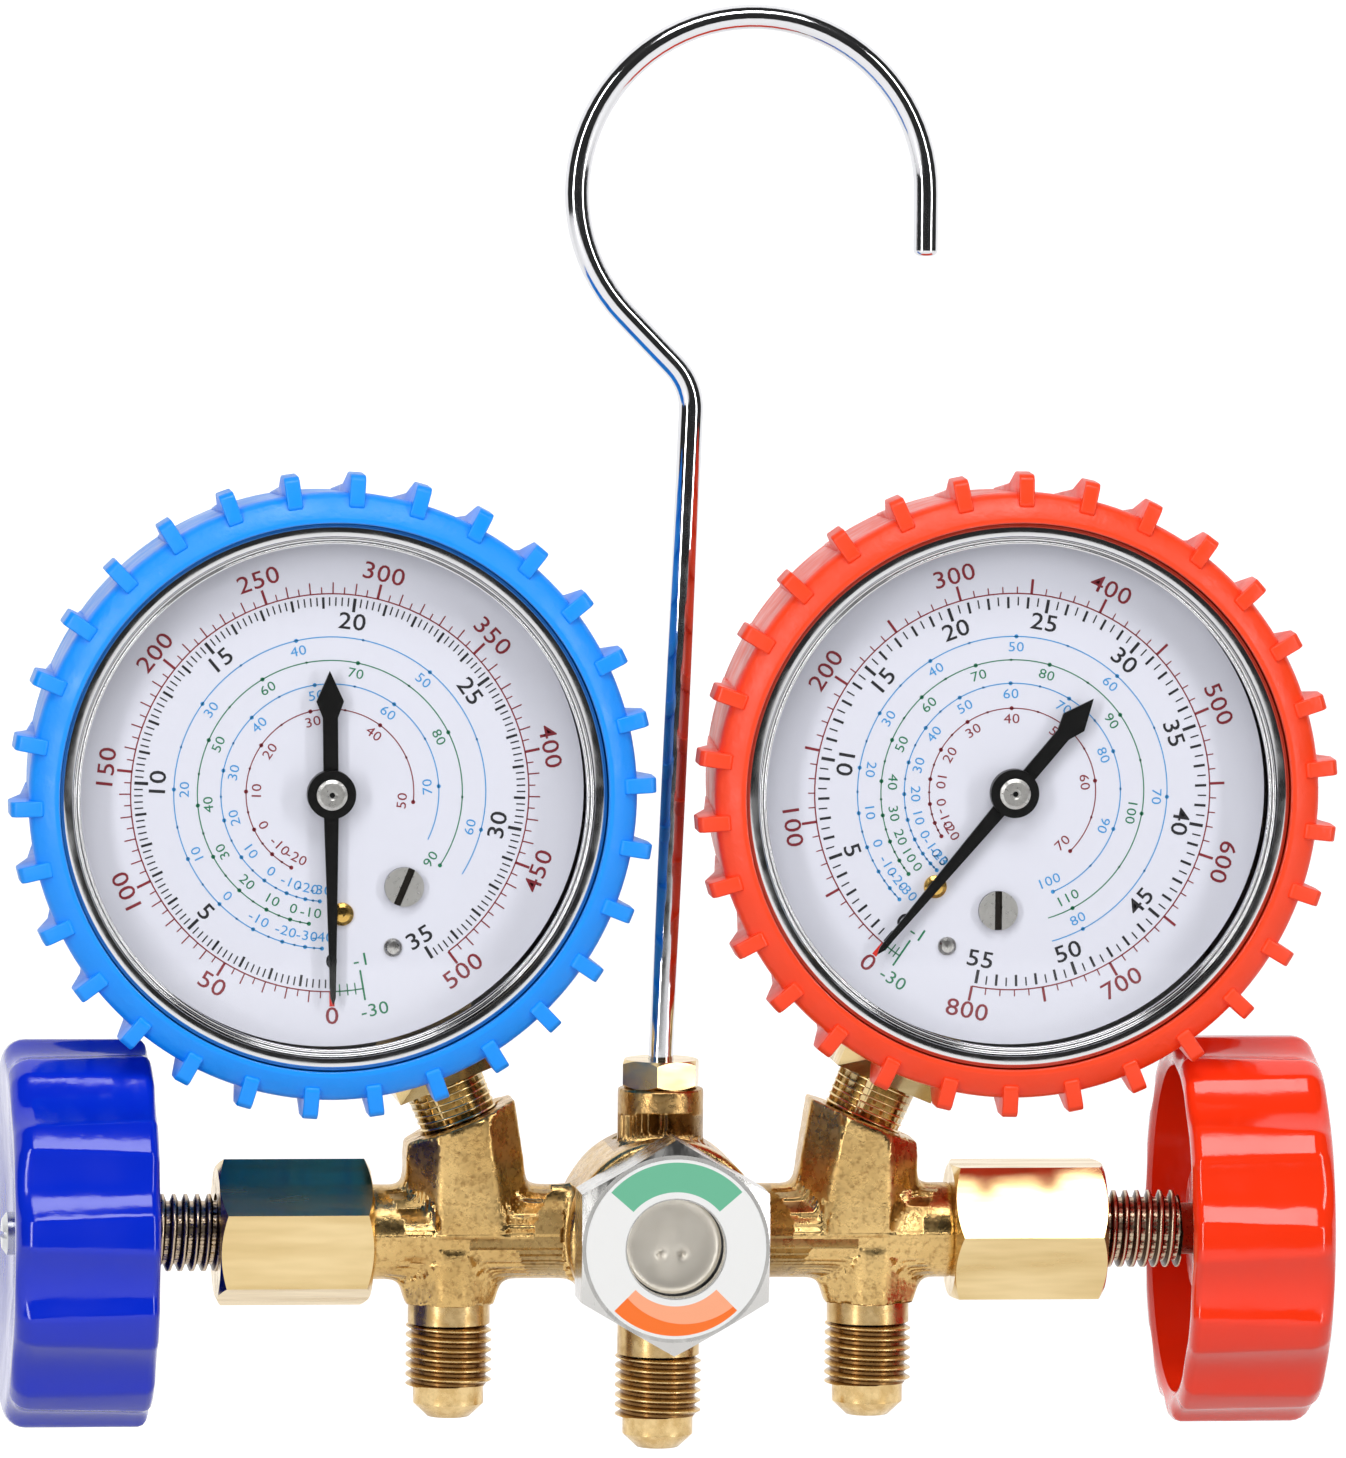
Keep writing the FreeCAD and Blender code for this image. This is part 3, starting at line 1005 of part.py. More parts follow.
def socket():
    """Brass socket: threaded stem, wrench flats, and the block inside the case."""
    flats = SOCKET_FLATS / 2
    stem_end = -(STEM_LENGTH - BOSS_TOP + GAUGE_THREAD_DEPTH - STEM_END_GAP)
    stem = rod(GAUGE_THREAD_RADIUS, stem_end, -SOCKET_FLANGE + 1, Z_AXIS)
    stem = stem.makeChamfer(0.6, [edge for edge in stem.Edges if abs(edge.BoundBox.ZMax - stem_end) < 0.01])
    flange = block((-flats, -flats, -SOCKET_FLANGE), (flats, flats, -SOCKET_BLOCK_TOP - 1))
    inside = CASE_RADIUS - CASE_WALL - 1.0
    main = block((-SOCKET_BLOCK_HALF, DIAL_BACK, -inside),
                 (SOCKET_BLOCK_HALF, SOCKET_BLOCK_BACK, -SOCKET_BLOCK_TOP))
    tongue = block((-SOCKET_BLOCK_HALF, BACK_PLATE_BACK, -SOCKET_BLOCK_TOP - 1),
                   (SOCKET_BLOCK_HALF, SOCKET_BLOCK_BACK - 1, -SOCKET_TONGUE_TOP))
    body = fused(stem, flange, main, tongue)
    slot = oval_arc(TUBE_THICK / 2 + SNUG, TUBE_HEIGHT / 2 + SNUG,
                    TUBE_ROOT_ANGLE - 40, TUBE_ROOT_ANGLE + 0.1)
    root = polar(TUBE_RADIUS, TUBE_ROOT_ANGLE)
    passage = rod(SOCKET_PASSAGE, stem_end - 1, root[1], Z_AXIS)
    cross = rod(0.6, root[0], 0, X_AXIS, Vector(0, 0, root[1]))
    cross.translate(Y_AXIS * TUBE_MID / 2)
    zero_end = DIAL_BACK + ZERO_DEPTH + GAP
    zero_hole = pin(from_stem(*ZERO_SCREW_PLACE), ZERO_SHANK + RUNNING, DIAL_BACK - 1, zero_end)
    holes = [slot, passage, cross, zero_hole]
    for place in (RIVET_PLACE, DIAL_PIN_PLACE):
        holes.append(pin(from_stem(*place), PIN_SHANK + SNUG, DIAL_BACK - 1, DIAL_BACK + PIN_DEPTH + SNUG))
    for place in foot_screw_places():
        holes.append(pin(place, 0.6 + SNUG, BACK_PLATE_BACK - 1, BACK_PLATE_BACK + 2.0))
    return body.cut(holes)


def boot():
    """Rubber boot with thirty ribs that run back over its rim and taper off."""
    back = CASE_BACK
    outer_back = back + BOOT_BACK_THICK
    hug = CASE_RADIUS + BOOT_PLAY
    ring_seat = RING_RADIUS + BOOT_PLAY
    lip_back = BOOT_FRONT + BOOT_LIP
    step = CASE_RIM + RING_SKIRT + BOOT_PLAY
    points = [(BOOT_FRONT, BOOT_OPENING), (BOOT_FRONT, BOOT_RADIUS - BOOT_SHOULDER),
              (BOOT_FRONT + BOOT_SHOULDER * 0.35, BOOT_RADIUS - BOOT_SHOULDER * 0.35),
              (BOOT_FRONT + BOOT_SHOULDER, BOOT_RADIUS), (outer_back - 1.2, BOOT_BACK_RADIUS),
              (outer_back, BOOT_BACK_RADIUS - 1.2), (outer_back, BOOT_BACK_OPENING),
              (back, BOOT_BACK_OPENING), (back, hug), (step, hug), (step, ring_seat),
              (lip_back, ring_seat), (lip_back, BOOT_OPENING)]
    skin = turned(points, Y_AXIS)
    ribs = []
    start = BOOT_FRONT + RIB_START
    tip = BOOT_RADIUS + RIB_HEIGHT
    root = BOOT_RADIUS - 1.6
    half = RIB_WIDTH / 2
    outline = [Vector(-half, start - 0.9, root), Vector(-half, start, tip - 0.6),
               Vector(-half, start + 0.6, tip),
               Vector(-half, start + RIB_FULL, tip), Vector(-half, RIB_KNEE, RIB_KNEE_RADIUS),
               Vector(-half, outer_back - 2.2, BOOT_BACK_RADIUS + 0.2),
               Vector(-half, outer_back - 2.4, BOOT_BACK_RADIUS - 1.0), Vector(-half, start + RIB_FULL, root)]
    rib = Part.Face(Part.makePolygon(outline + [outline[0]])).extrude(X_AXIS * RIB_WIDTH)
    for step_number in range(RIB_COUNT):
        copy = rib.copy()
        copy.rotate(ORIGIN, Y_AXIS, 180.0 - RIB_PHASE - 360.0 * step_number / RIB_COUNT)
        ribs.append(copy)
    flats = SOCKET_FLATS / 2 + 0.5
    opening = block((-flats, -flats, -BOOT_RADIUS - RIB_HEIGHT - 1), (flats, flats, -CASE_RADIUS + 4))
    return skin.fuse(ribs).cut(opening)


def place_gauge(shape, side):
    """Tilts a piece drawn about the dial's centre and carries it to its side of the bar."""
    piece = shape.copy()
    piece.rotate(ORIGIN, Y_AXIS, side * GAUGE_TILT)
    piece.translate(Vector(side * GAUGE_X, 0, GAUGE_Z))
    return piece


def place_valve(shape, side):
    """Turns a piece drawn along +X to its end of the bar."""
    piece = shape.copy()
    if side < 0:
        piece.rotate(ORIGIN, Z_AXIS, 180.0)
    return piece


os.makedirs("parts", exist_ok=True)

save(manifold_body(), "manifold_body")
save(sight_glass_nut(), "sight_glass_nut")
save(rod(SIGHT_GLASS_RADIUS, -SIGHT_GLASS_FRONT, -SIGHT_GLASS_BACK, Y_AXIS), "sight_glass")
save(ring(SIGHT_CHAMBER_RADIUS, SIGHT_GLASS_RADIUS, -SIGHT_GLASS_BACK, -SIGHT_NOSE_FRONT, Y_AXIS),
     "sight_glass_gasket")
save(ring(SIGHT_RING_INNER, SIGHT_RING_OUTER, -SIGHT_NUT_FACE - SIGHT_RING_THICK, -SIGHT_NUT_FACE, Y_AXIS),
     "sight_glass_ring")
save(hook_nut(), "hook_nut")
save(hook(), "hook")

for name, side in (("low", -1), ("high", 1)):
    save(place_valve(bonnet(BONNET_TURN[name]), side), name + "_bonnet")
    save(place_valve(ring(BONNET_GASKET_INNER, BAR_THREAD_RADIUS, BAR_END, BONNET_SHOULDER, X_AXIS), side),
         name + "_bonnet_gasket")
    save(place_valve(spindle(), side), name + "_spindle")
    save(place_valve(spindle_seal(), side), name + "_spindle_seal")
    save(place_valve(seat_disc(), side), name + "_seat_disc")
    save(place_valve(handwheel(WHEEL_FLUTE_ANGLE[name]), side), name + "_handwheel")
    save(place_valve(handwheel_screw(), side), name + "_handwheel_screw")

    save(place_gauge(socket(), side), name + "_socket")
    save(place_gauge(gauge_case(), side), name + "_case")
    save(place_gauge(front_ring(), side), name + "_bezel")
    save(place_gauge(rod(LENS_RADIUS, LENS_FRONT, LENS_BACK, Y_AXIS), side), name + "_lens")
    lens_seat = CASE_RADIUS - CASE_WALL - CASE_LIP
    save(place_gauge(ring(lens_seat, LENS_RADIUS, LENS_BACK, CASE_RIM, Y_AXIS), side),
         name + "_lens_gasket")
    save(place_gauge(dial(), side), name + "_dial")
    save(place_gauge(zero_screw(ZERO_SLOT_TURN[name]), side), name + "_zero_screw")
    save(place_gauge(pointer(ZERO_ANGLE[name]), side), name + "_pointer")
    save(place_gauge(pointer_cap(), side), name + "_pointer_cap")
    save(place_gauge(pinion(), side), name + "_pinion")
    save(place_gauge(sector(), side), name + "_sector")
    save(place_gauge(link(), side), name + "_link")
    save(place_gauge(bourdon_tube(), side), name + "_bourdon_tube")
    save(place_gauge(hairspring(), side), name + "_hairspring")
    save(place_gauge(back_plate(), side), name + "_movement_back_plate")
    save(place_gauge(front_plate(), side), name + "_movement_front_plate")
    save(place_gauge(boot(), side), name + "_boot")

rivets = [place_gauge(dial_fastener(RIVET_PLACE, RIVET_RADIUS), side) for side in (-1, 1)]
pins = [place_gauge(dial_fastener(DIAL_PIN_PLACE, DIAL_PIN_RADIUS), side) for side in (-1, 1)]
screws = [place_gauge(screw, side) for side in (-1, 1) for screw in movement_screws()]
save(Part.makeCompound(rivets), "dial_rivets")
save(Part.makeCompound(pins), "dial_pins")
save(Part.makeCompound(screws), "movement_screws")
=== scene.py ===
import bpy
import math
from mathutils import Matrix, Vector


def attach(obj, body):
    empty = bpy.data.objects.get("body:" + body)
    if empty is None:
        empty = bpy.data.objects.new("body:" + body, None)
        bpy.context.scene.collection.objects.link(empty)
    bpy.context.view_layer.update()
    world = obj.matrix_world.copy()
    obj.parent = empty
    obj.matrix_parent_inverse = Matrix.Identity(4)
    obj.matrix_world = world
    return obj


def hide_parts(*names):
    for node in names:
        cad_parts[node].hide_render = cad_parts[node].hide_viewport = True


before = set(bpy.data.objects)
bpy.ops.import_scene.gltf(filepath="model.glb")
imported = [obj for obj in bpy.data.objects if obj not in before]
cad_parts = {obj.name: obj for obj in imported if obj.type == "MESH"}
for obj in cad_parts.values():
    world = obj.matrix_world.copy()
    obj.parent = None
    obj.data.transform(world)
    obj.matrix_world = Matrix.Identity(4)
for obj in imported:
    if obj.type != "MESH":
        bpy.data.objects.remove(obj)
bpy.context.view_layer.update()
MM = 0.001
MERGED = 0.002 * MM

# The set hangs in front of a plain pale sheet that runs down the wall and out over the table.
# Nothing here is part of the object: the sheet only catches the light and a soft shadow, and
# seen from behind it is clear, so that the back of the set shows too.
SHEET_WIDTH = 2.4
SHEET_BACK = 0.22
SHEET_FRONT = -1.4
SHEET_FLOOR = -0.27
SHEET_TOP = 1.2
SHEET_BEND = 0.16
SHEET_CREASE = SHEET_BACK - SHEET_BEND
PAPER_GLOW = 0.62


def nothing_selected():
    """Leaves no object selected and none in edit mode."""
    if bpy.context.object and bpy.context.object.mode != "OBJECT":
        bpy.ops.object.mode_set(mode="OBJECT")
    bpy.ops.object.select_all(action="DESELECT")


class Reading:
    """A value read over a surface; sums and products of readings add the nodes they need."""

    def __init__(self, paint, socket):
        self.paint = paint
        self.socket = socket

    def maths(self, operation, *others):
        return self.paint.node("Math", [self, *others], operation=operation)

    def __add__(self, other):
        return self.maths("ADD", other)

    def __sub__(self, other):
        return self.maths("SUBTRACT", other)

    def __mul__(self, other):
        return self.maths("MULTIPLY", other)

    def __gt__(self, other):
        return self.maths("GREATER_THAN", other)

    def __lt__(self, other):
        return self.maths("LESS_THAN", other)

    def __rsub__(self, other):
        return self.paint.node("Math", [other, self], operation="SUBTRACT")

    def __abs__(self):
        return self.maths("ABSOLUTE")

    __radd__ = __add__
    __rmul__ = __mul__


class Nodes:
    """A tree of nodes, to which more are added one by one."""

    def __init__(self, tree):
        self.tree = tree

    def node(self, kind, inputs=(), output=0, **settings):
        made = self.tree.nodes.new("ShaderNode" + kind)
        for setting, value in settings.items():
            setattr(made, setting, value)
        pairs = inputs.items() if isinstance(inputs, dict) else enumerate(inputs)
        for key, value in pairs:
            self.feed(made.inputs[key], value)
        return Reading(self, made.outputs[output])

    def feed(self, socket, value):
        if isinstance(value, Reading):
            self.tree.links.new(value.socket, socket)
        elif isinstance(value, tuple) and socket.type == "RGBA":
            socket.default_value = (*value, 1.0)
        else:
            socket.default_value = value


class Paint(Nodes):
    """A named finish: its material and the methods that add to it."""

    def __init__(self, name, colour, roughness=0.5, metallic=0.0, **sockets):
        self.material = bpy.data.materials.new(name)
        self.material.use_nodes = True
        super().__init__(self.material.node_tree)
        self.shader = self.tree.nodes["Principled BSDF"]
        self.shader.inputs["Base Color"].default_value = (*colour, 1.0)
        self.shader.inputs["Roughness"].default_value = roughness
        self.shader.inputs["Metallic"].default_value = metallic
        for socket, value in sockets.items():
            self.shader.inputs[socket.replace("_", " ")].default_value = value

    def place(self):
        """Where a point of the surface lies, in metres, in the object's own frame."""
        return self.node("TexCoord", output="Object")

    def axes(self):
        """The three coordinates of that place, one reading each."""
        parts = self.node("SeparateXYZ", [self.place()])
        node = parts.socket.node
        return [Reading(self, node.outputs[name]) for name in ("X", "Y", "Z")]

    def noise(self, scale, detail=3.0, stretch=(1.0, 1.0, 1.0)):
        """Uneven spots from 0 to 1, about 1 / scale metres apart."""
        stretched = self.node("Mapping", {"Vector": self.place(), "Scale": stretch})
        return self.node("TexNoise", {"Vector": stretched, "Scale": scale, "Detail": detail,
                                      "Roughness": 0.55}, output="Fac")

    def from_axis(self, first, second):
        """How far a point is from a line, from its two distances to it."""
        return self.node("Math", [first * first + second * second], operation="SQRT")

    def blend(self, amount, first, second):
        """A colour between two others."""
        return self.node("Mix", {0: amount, 6: first, 7: second}, output=2, data_type="RGBA")

    def clamp(self, reading, low, high, to_low=0.0, to_high=1.0):
        """Carries the span from low to high over to another, and holds it within that."""
        return self.node("MapRange", [reading, low, high, to_low, to_high])

    def surface(self, shown):
        """Puts a mixture of shaders in place of the plain one."""
        self.feed(self.tree.nodes["Material Output"].inputs["Surface"], shown)

    def colour(self, value):
        self.feed(self.shader.inputs["Base Color"], value)

    def gloss(self, value):
        self.feed(self.shader.inputs["Roughness"], value)

    def uneven_gloss(self, scale, low, high, detail=3.0, stretch=(1.0, 1.0, 1.0)):
        """A roughness that wanders between two values."""
        self.gloss(self.clamp(self.noise(scale, detail, stretch), 0.3, 0.7, low, high))

    def relief(self, height, depth):
        """Small bumps and hollows, with the depth in metres between a height of 0 and 1."""
        self.feed(self.shader.inputs["Normal"], self.node("Bump", {"Distance": depth, "Height": height}))


def sheet_section():
    """Bends the back of a flat sheet up into a wall with a soft corner."""
    bpy.ops.mesh.primitive_plane_add(size=1.0)
    sheet = bpy.context.object
    sheet.data.transform(Matrix.Diagonal((SHEET_WIDTH, SHEET_CREASE - SHEET_FRONT, 1.0, 1.0)))
    sheet.data.transform(Matrix.Translation((0, (SHEET_FRONT + SHEET_CREASE) / 2, SHEET_FLOOR)))
    nothing_selected()
    sheet.select_set(True)
    bpy.context.view_layer.objects.active = sheet
    bpy.ops.object.mode_set(mode="EDIT")
    bpy.ops.mesh.select_all(action="DESELECT")
    bpy.ops.object.mode_set(mode="OBJECT")
    for vertex in sheet.data.vertices:
        vertex.select = vertex.co.y > SHEET_CREASE - MM
    bpy.ops.object.mode_set(mode="EDIT")
    bpy.ops.mesh.select_mode(type="VERT")
    bpy.ops.mesh.spin(steps=12, angle=math.radians(-90), axis=(1, 0, 0),
                      center=(0, SHEET_CREASE, SHEET_FLOOR + SHEET_BEND))
    bpy.ops.mesh.extrude_region_move(TRANSFORM_OT_translate={"value": (0, 0, SHEET_TOP)})
    bpy.ops.object.mode_set(mode="OBJECT")
    bpy.ops.object.shade_smooth()
    return sheet


nothing_selected()
sheet = sheet_section()
sheet.name = "backdrop"
paper = Paint("backdrop paper", (0.55, 0.55, 0.55), roughness=0.9)
plain = Reading(paper, paper.shader.outputs[0])
seen = paper.node("LightPath", output="Is Camera Ray")
reflected = paper.node("LightPath", output="Is Glossy Ray")
through = paper.node("LightPath", output="Is Transmission Ray")
direct = paper.node("Math", [seen + reflected, through], operation="MAXIMUM")
white = paper.node("Emission", {"Color": (1.0, 1.0, 1.0), "Strength": PAPER_GLOW})
front = paper.node("MixShader", [direct, plain, paper.node("AddShader", [plain, white])])
behind = paper.node("NewGeometry", output="Backfacing")
paper.surface(paper.node("MixShader", [behind, front, paper.node("BsdfTransparent")]))
sheet.data.materials.append(paper.material)

# Soft light as in a small product studio: an upright strip on each side and one overhead, whose
# narrow reflections follow the metal and the plastic, and a broad fill from the camera's side.
# Each has its place, width, height and power, and whether the metal shows it.
PANELS = (
    ("left strip", (-0.75, -0.85, 0.10), 0.16, 1.0, 5.5, True),
    ("right strip", (0.80, -0.75, 0.15), 0.14, 0.9, 4.0, True),
    ("top strip", (0.0, -0.70, 0.90), 0.9, 0.35, 7.0, True),
    ("fill", (-0.30, -2.20, 0.45), 1.6, 1.2, 12.0, False),
)
LIT = Vector((0.0, 0.0, -0.10))
WORLD_LIGHT = 0.03
for name, place, width, height, power, reflected in PANELS:
    bpy.ops.object.light_add(type="AREA", location=place)
    lamp = bpy.context.object
    lamp.name = name
    lamp.data.shape = "RECTANGLE"
    lamp.data.size = width
    lamp.data.size_y = height
    lamp.data.energy = power
    lamp.visible_glossy = reflected
    lamp.rotation_euler = (LIT - Vector(place)).to_track_quat("-Z", "Y").to_euler()
world = bpy.data.worlds.new("studio")
bpy.context.scene.world = world
world.use_nodes = True
around = Nodes(world.node_tree)
background = world.node_tree.nodes["Background"].inputs
around.feed(background["Color"], (1.0, 1.0, 1.0))
seen = around.node("LightPath", output="Is Camera Ray")
around.feed(background["Strength"], around.node("Math", [seen, WORLD_LIGHT], operation="MAXIMUM"))
bpy.context.scene.view_settings.view_transform = "Standard"

# The camera stands 2.4 m off, a little to the left of the set and a little above it.
# Its angles come from the photograph: the nut in the middle shows how far it was off to the side.
CAMERA_AIM = (-0.00944, 0.0, -0.08949)
CAMERA_DISTANCE = 2.4
CAMERA_TURN = math.radians(6.49)
CAMERA_RISE = math.radians(5.5)
CAMERA_ROLL = math.radians(0.55)
IMAGE_HEIGHT = 1458
FOCUS_PIXELS = 18790
look = Vector((math.sin(CAMERA_TURN) * math.cos(CAMERA_RISE),
               math.cos(CAMERA_TURN) * math.cos(CAMERA_RISE),
               -math.sin(CAMERA_RISE)))
side = Vector((math.cos(CAMERA_TURN), -math.sin(CAMERA_TURN), 0))
upward = side.cross(look)
right = side * math.cos(CAMERA_ROLL) + upward * math.sin(CAMERA_ROLL)
upward = upward * math.cos(CAMERA_ROLL) - side * math.sin(CAMERA_ROLL)
stand = Vector(CAMERA_AIM) - look * CAMERA_DISTANCE
bpy.ops.object.camera_add(location=stand)
camera = bpy.context.object
camera.matrix_world = Matrix.Translation(stand) @ Matrix((right, upward, -look)).transposed().to_4x4()
camera.data.sensor_fit = "VERTICAL"
camera.data.sensor_height = 36.0
camera.data.lens = FOCUS_PIXELS / IMAGE_HEIGHT * camera.data.sensor_height
camera.data.clip_start = 0.01
camera.data.clip_end = 10.0
bpy.context.scene.camera = camera

# The body is a brass hot forging: grainy where the dies shaped it, rounded at every corner, and
# with a parting line along its middle. The ports on its underside were turned afterwards.
BAR = Vector((-0.0106, 0.0, -0.154))
FORGED_CELL = 0.40 * MM
CORNER_PASSES = 8
PORT_PLACES = {"low": (-27.0, -9.4), "centre": (0.0, -13.5), "high": (27.0, -9.4)}
PORT_HALF = 7.5 * MM
PORT_STEP = 27.0 * MM
CROTCH_REACH = 36.5 * MM
CROTCH_DEPTH = 8.5 * MM
CROTCH_LOW = 2.2 * MM
CROTCH_HIGH = 9.8 * MM
CROTCH_BLEND = 2.0 * MM
CROTCH_PASSES = 40
CHAMBER_FRONT = -12.0 * MM
BAR_FRONT = -8.0 * MM
HOOK_BOSS_HALF = 6.6 * MM
BAR_TOP = 7.0 * MM
PORT_CUT = 0.3 * MM
SEAM_HALF = 0.35 * MM
GRAIN_DEPTH = 0.3 * MM


def node_paint(node, paint):
    """Gives a CAD node its finish."""
    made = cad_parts[node]
    made.data.materials.clear()
    made.data.materials.append(paint.material)


def picked(made):
    """Selects one object alone and makes it the active one."""
    nothing_selected()
    made.select_set(True)
    bpy.context.view_layer.objects.active = made


def twin(node, name):
    """A merged copy of a CAD node's mesh, to be worked on, which then stands for the node."""
    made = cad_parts[node].copy()
    made.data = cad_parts[node].data.copy()
    made.name = name
    bpy.context.collection.objects.link(made)
    picked(made)
    bpy.ops.object.mode_set(mode="EDIT")
    bpy.ops.mesh.select_all(action="SELECT")
    bpy.ops.mesh.remove_doubles(threshold=MERGED)
    bpy.ops.object.mode_set(mode="OBJECT")
    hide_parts(node)
    return made


def smoothed(made, passes, group=""):
    """Draws a mesh, or a group of its points, smooth."""
    picked(made)
    bpy.ops.object.modifier_add(type="SMOOTH")
    made.modifiers[-1].factor = 0.5
    made.modifiers[-1].iterations = passes
    made.modifiers[-1].vertex_group = group
    bpy.ops.object.modifier_apply(modifier=made.modifiers[-1].name)


def finished(made, paint, body):
    """Paints a piece and says which body it moves with."""
    made.data.materials.clear()
    made.data.materials.append(paint.material)
    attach(made, body)


def faces_chosen(made, wanted):
    """Selects the faces whose middle is where the test says, and goes into edit mode."""
    picked(made)
    for polygon in made.data.polygons:
        polygon.select = wanted(polygon.center)
    bpy.ops.object.mode_set(mode="EDIT")
    bpy.ops.mesh.select_mode(type="FACE")


brass = Paint("forged brass", (0.62, 0.40, 0.15), roughness=0.32, metallic=1.0)
grain = brass.noise(1500.0, 4.0)
pits = brass.noise(650.0, 2.0)
stain = brass.noise(90.0, 3.0)
across, depth, height = brass.axes()
seam = brass.clamp(abs(height - BAR.z), 0.0, SEAM_HALF, 1.0, 0.0) * (depth > BAR_FRONT)
chamber = depth < CHAMBER_FRONT
hook_boss = (height > BAR.z + BAR_TOP) * (abs(across - BAR.x) < HOOK_BOSS_HALF)
hook_boss = hook_boss * (abs(depth) < HOOK_BOSS_HALF)
tone = brass.blend(brass.clamp(stain, 0.35, 0.7), (0.72, 0.49, 0.20), (0.54, 0.34, 0.12))
tone = brass.blend(hook_boss * 0.55, tone, (0.26, 0.14, 0.05))
tone = brass.blend(brass.clamp(grain, 0.50, 0.72) * 0.65, tone, (0.24, 0.12, 0.035))
brass.colour(brass.blend(chamber, tone, (0.76, 0.71, 0.62)))
brass.gloss(brass.clamp(pits, 0.3, 0.7, 0.20, 0.36) + chamber * 0.25)
brass.relief((grain * 0.20 + pits * 0.12) * (1.0 - chamber) + seam * 0.45, GRAIN_DEPTH)

forging = twin("manifold_body", "forging")
picked(forging)
forging.data.remesh_voxel_size = FORGED_CELL
bpy.ops.object.voxel_remesh()
smoothed(forging, CORNER_PASSES)
bpy.ops.object.shade_smooth()
crotches = forging.vertex_groups.new(name="crotches")
for vertex in forging.data.vertices:
    out = vertex.co - BAR
    from_edge = min(abs(out.z) - CROTCH_LOW, CROTCH_HIGH - abs(out.z), CROTCH_REACH - abs(out.x),
                    abs(out.x) - HOOK_BOSS_HALF)
    if from_edge > 0 and abs(out.y) < CROTCH_DEPTH:
        crotches.add([vertex.index], min(1.0, from_edge / CROTCH_BLEND), "REPLACE")
smoothed(forging, CROTCH_PASSES, "crotches")
for place, end in PORT_PLACES.values():
    middle = BAR.x + place * MM
    cut = BAR.z + end * MM + PORT_CUT
    faces_chosen(forging, lambda at: abs(at.x - middle) < PORT_HALF and at.z < cut + FORGED_CELL)
    bpy.ops.mesh.bisect(plane_co=(middle, 0, cut), plane_no=(0, 0, 1), use_fill=True, clear_inner=True)
    bpy.ops.object.mode_set(mode="OBJECT")
finished(forging, brass, "manifold")

# Three flare ports for the hoses, turned and threaded on the ends of the forged bosses. Each has
# a neck, six turns of thread, a smooth collar and a cone that the flared hose end seats on.
PITCH = 1.27
THREAD_RADIUS = 5.5
THREAD_DEPTH = 0.72
PORT_ROOT = 2.8
NECK = [(2.4, PORT_ROOT), (5.25, PORT_ROOT), (5.25, -2.3), (4.7, -2.6), (4.7, -2.8)]
NOSE = [(4.7, -9.9), (4.5, -10.2), (4.5, -12.6), (4.2, -12.9), (2.7, -14.3), (2.5, -14.35), (2.4, -14.2),
        (2.4, PORT_ROOT)]
THREAD_START = -2.6
THREAD_END = -10.2
CREST = (4.75 * MM, 5.4 * MM)
PORT_DROP = (PORT_PLACES["low"][1] - PORT_PLACES["centre"][1]) * MM


def drawn(points):
    """A bent line through points of the plane y = 0, in millimetres, drawn from end to end."""
    nothing_selected()
    bpy.ops.mesh.primitive_plane_add(size=MM)
    line = bpy.context.object
    bpy.ops.object.mode_set(mode="EDIT")
    bpy.ops.mesh.select_all(action="SELECT")
    bpy.ops.mesh.merge(type="CENTER")
    bpy.ops.mesh.select_mode(type="VERT")
    bpy.ops.mesh.select_all(action="SELECT")
    x, z = points[0]
    bpy.ops.transform.translate(value=(x * MM, 0, z * MM))
    for next_x, next_z in points[1:]:
        bpy.ops.mesh.extrude_region_move(
            TRANSFORM_OT_translate={"value": ((next_x - x) * MM, 0, (next_z - z) * MM)})
        x, z = next_x, next_z
    bpy.ops.mesh.select_all(action="SELECT")
    return line


def turned(points, steps=64):
    """A solid of revolution about the upright axis, from (radius, height) points."""
    made = drawn(points)
    bpy.ops.mesh.spin(steps=steps, angle=math.tau, center=(0, 0, 0), axis=(0, 0, 1))
    bpy.ops.mesh.select_all(action="SELECT")
    bpy.ops.mesh.remove_doubles(threshold=MERGED)
    bpy.ops.mesh.normals_make_consistent(inside=False)
    bpy.ops.object.mode_set(mode="OBJECT")
    return made


